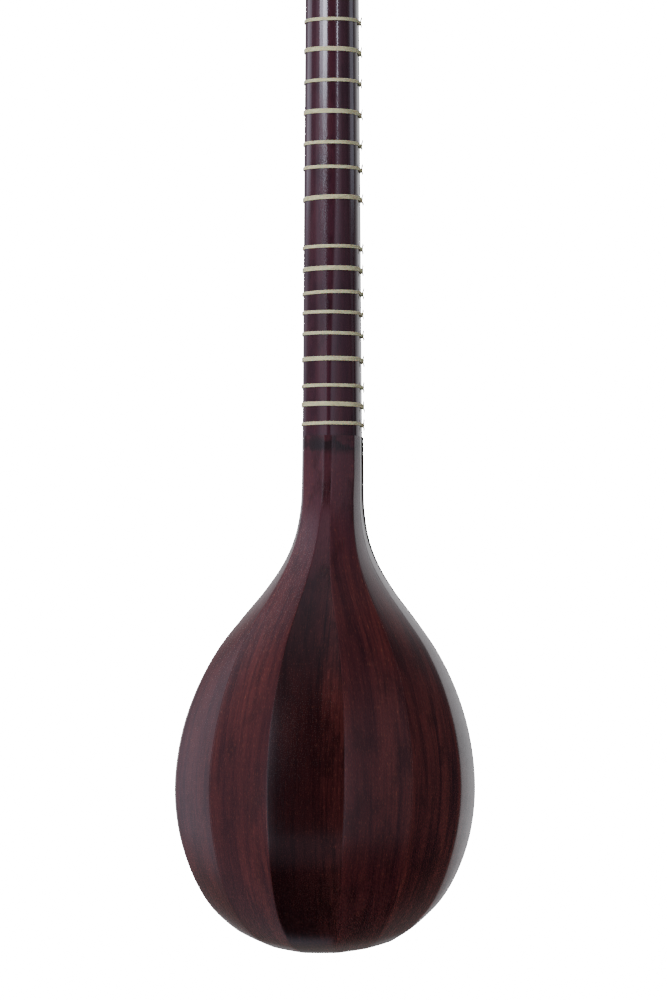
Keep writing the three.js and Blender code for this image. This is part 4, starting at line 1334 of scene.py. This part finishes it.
def toward_camera():
    turn = math.radians(CAMERA_ORBIT)
    return Vector((-math.sin(turn), math.cos(turn), 0))


def add_camera(scene):
    out = toward_camera()
    pixels = CAMERA_DISTANCE / MM_PER_PIXEL
    aim = -out * pixels
    aim += UP * (HORIZON_PIXEL - IMAGE_SIZE[1] / 2)
    aim += (-out).cross(UP) * (IMAGE_SIZE[0] / 2 - AXIS_PIXEL)
    data = bpy.data.cameras.new("photo_camera")
    data.sensor_fit = "VERTICAL"
    data.sensor_height = SENSOR_HEIGHT
    data.lens = SENSOR_HEIGHT * pixels / IMAGE_SIZE[1]
    data.clip_start, data.clip_end = 0.05, 30.0
    camera = add_object("photo_camera", data)
    camera.location = (out * CAMERA_DISTANCE + UP * (CAMERA_HEIGHT - ORIGIN_HEIGHT)) * MM
    camera.rotation_euler = aim.to_track_quat("-Z", "Y").to_euler()
    scene.camera = camera


def add_softbox(name, azimuth, distance, size, heights, power, only=None):
    """A soft light, turned about the instrument from the camera's side.

    The heights are of the light and of the point it faces. One made for a few pieces
    lights only the collection that it's given, and is seen in their lacquer.
    """
    out = toward_camera()
    out.rotate(Quaternion(UP, math.radians(azimuth)))
    data = bpy.data.lights.new(name, "AREA")
    data.shape = "RECTANGLE"
    data.size, data.size_y = size
    data.energy = power
    light = add_object(name, data)
    light.location = out * distance + UP * heights[0]
    aim = UP * heights[1] - light.location
    light.rotation_euler = aim.to_track_quat("-Z", "Y").to_euler()
    light.visible_glossy = only is not None
    if only is not None:
        data.color = GLEAM_COLOUR
        light.light_linking.receiver_collection = only


def add_world(scene):
    """A surround that the camera sees as white, and the soft sources that light the scene.

    Bright surfaces stand behind the instrument, with cool tall sources beside the camera,
    weaker ones low down and one overhead.
    """
    world = bpy.data.worlds.new("studio")
    scene.world = world
    world.use_nodes = True
    shader = Shader(tree=world.node_tree)
    out = toward_camera()
    way = shader.node("ShaderNodeTexCoord", output=0)
    ahead, aside, high = (
        shader.vector("DOT_PRODUCT", way, axis, 1) for axis in (out, (-out).cross(UP), UP))
    # Directions in degrees: height over the horizon, and turns to the right, left and either
    lift = high.arcsine() * (180 / math.pi)
    right = aside.arctangent(ahead) * (180 / math.pi)
    left, either = -right, right.absolute()
    surround = right.rise(118.0, 160.0) + left.rise(146.0, 178.0)
    surround = surround * (1 - lift.rise(4.0, 42.0) * 0.85) * lift.rise(-20.0, -4.0)
    below = either.rise(110.0, 150.0) * lift.window(-56.0, -20.0, -20.0, -4.0)
    upright = lift.window(-24.0, -8.0, 34.0, 60.0)
    right_fall = right.rise(34.0, 62.0) * 0.75 + right.rise(74.0, 98.0) * 0.2
    right_source = right.rise(20.0, 30.0) * (1 - right_fall) * upright
    left_fall = left.rise(62.0, 80.0) * 0.78 - left.rise(102.0, 120.0) * 0.3
    left_fall = left_fall + left.rise(128.0, 156.0) * 0.45
    left_source = left.rise(19.0, 33.0) * (1 - left_fall) * upright
    left_low = left.rise(60.0, 95.0) * lift.window(-62.0, -45.0, -24.0, -8.0)
    low_source = (1 - either.rise(14.0, 40.0)) * lift.window(-30.0, -18.0, -10.0, 0.0)
    overhead = lift.rise(48.0, 74.0)
    sources = right_source + left_source * 1.3 + left_low * 0.3
    sources = sources + low_source * 0.25 + overhead * 0.4
    cool = shader.mix(sources, (0, 0, 0), (0.9, 0.86, 1.06))
    lit = shader.mix(surround, cool, (0.92, 0.92, 0.95))
    lit = shader.mix(below, lit, (0.15, 0.125, 0.115))
    colour = shader.mix(1.0, lit, (0.02, 0.017, 0.021), "ADD")
    room = shader.node("ShaderNodeBackground", None, {"Color": colour, "Strength": 1.0})
    white = shader.node(
        "ShaderNodeBackground", None, {"Color": (1, 1, 1, 1), "Strength": WHITE_STRENGTH})
    seen = shader.node("ShaderNodeLightPath", output=0)
    both = shader.node("ShaderNodeMixShader", None, {0: seen, 1: room, 2: white})
    shader.node("ShaderNodeOutputWorld", None, {"Surface": both})


def add_floor(drop):
    """A pale round floor under the hanging instrument."""
    sides = 96
    low = -(ORIGIN_HEIGHT * MM) - drop
    outline = ((0.0, 0.25), (0.0, 0.5), (0.0, 0.7), (0.001, 0.73), (0.005, 0.745), (0.012, 0.75))
    rings = turned([(low + rise, radius) for rise, radius in outline], sides)
    points = [(0, 0, low), *rings.reshape(-1, 3).tolist()]
    faces = []
    for i in range(sides):
        j = (i + 1) % sides
        faces.append((0, 1 + i, 1 + j))
        for k in range(len(outline) - 1):
            a, b = 1 + k * sides, 1 + (k + 1) * sides
            faces.append((a + i, b + i, b + j, a + j))
    mesh = bpy.data.meshes.new("floor")
    mesh.from_pydata(points, [], faces)
    mesh.shade_smooth()
    shader = Shader("floor_pale")
    place = shader.node("ShaderNodeTexCoord", output=3)
    cloud = shader.noise(place, (3.0, 3.0, 3.0), 3.0)
    across, ahead, _ = shader.axes(place)
    fade = 1 - (across * across + ahead * ahead).rise(0.12, 0.5)
    mesh.materials.append(shader.surface(
        base_color=shader.mix(cloud.rise(0.3, 0.7), (0.86, 0.86, 0.86), (0.9, 0.9, 0.9)),
        roughness=0.8, alpha=fade))
    floor = add_object("floor", mesh)
    floor.visible_glossy = False


class SETAR_OT_stage(Step, bpy.types.Operator):
    """Sets the floor, the soft lights, the white surround and the camera"""

    bl_idname = "setar.stage"
    bl_label = "Set Stage"

    def build(self, scene, sizes):
        add_camera(scene)
        add_world(scene)
        for softbox in SOFTBOXES:
            add_softbox(*softbox)
        neck_lit = bpy.data.collections.new("neck_lit")
        for name, azimuth, size, height, power in NECK_GLEAMS:
            add_softbox(name, azimuth, GLEAM_DISTANCE, size, (height, height), power, neck_lit)
        add_floor(sizes.floor_drop)


class SETAR_PT_panel(bpy.types.Panel):
    """Lists the steps that build the setar"""

    bl_idname = "SETAR_PT_panel"
    bl_label = "Setar"
    bl_space_type = "VIEW_3D"
    bl_region_type = "UI"
    bl_category = "Setar"

    def draw(self, context):
        for operator in OPERATORS:
            self.layout.operator(operator.bl_idname)
        for group in (context.scene.setar_sizes, context.scene.setar_colours):
            column = self.layout.column()
            for name in group.__annotations__:
                column.prop(group, name)


OPERATORS = (
    SETAR_OT_stage, SETAR_OT_finishes, SETAR_OT_bowl, SETAR_OT_board, SETAR_OT_neck,
    SETAR_OT_pegs, SETAR_OT_frets, SETAR_OT_kept_parts,
)
CLASSES = (SetarSizes, SetarColours, *OPERATORS, SETAR_PT_panel)


def register():
    for cls in CLASSES:
        bpy.utils.register_class(cls)
    bpy.types.Scene.setar_sizes = PointerProperty(type=SetarSizes)
    bpy.types.Scene.setar_colours = PointerProperty(type=SetarColours)


def unregister():
    del bpy.types.Scene.setar_colours
    del bpy.types.Scene.setar_sizes
    for cls in reversed(CLASSES):
        bpy.utils.unregister_class(cls)


def main():
    register()
    for operator in OPERATORS:
        group, name = operator.bl_idname.split(".")
        getattr(getattr(bpy.ops, group), name)()


if __name__ == "__main__":
    main()
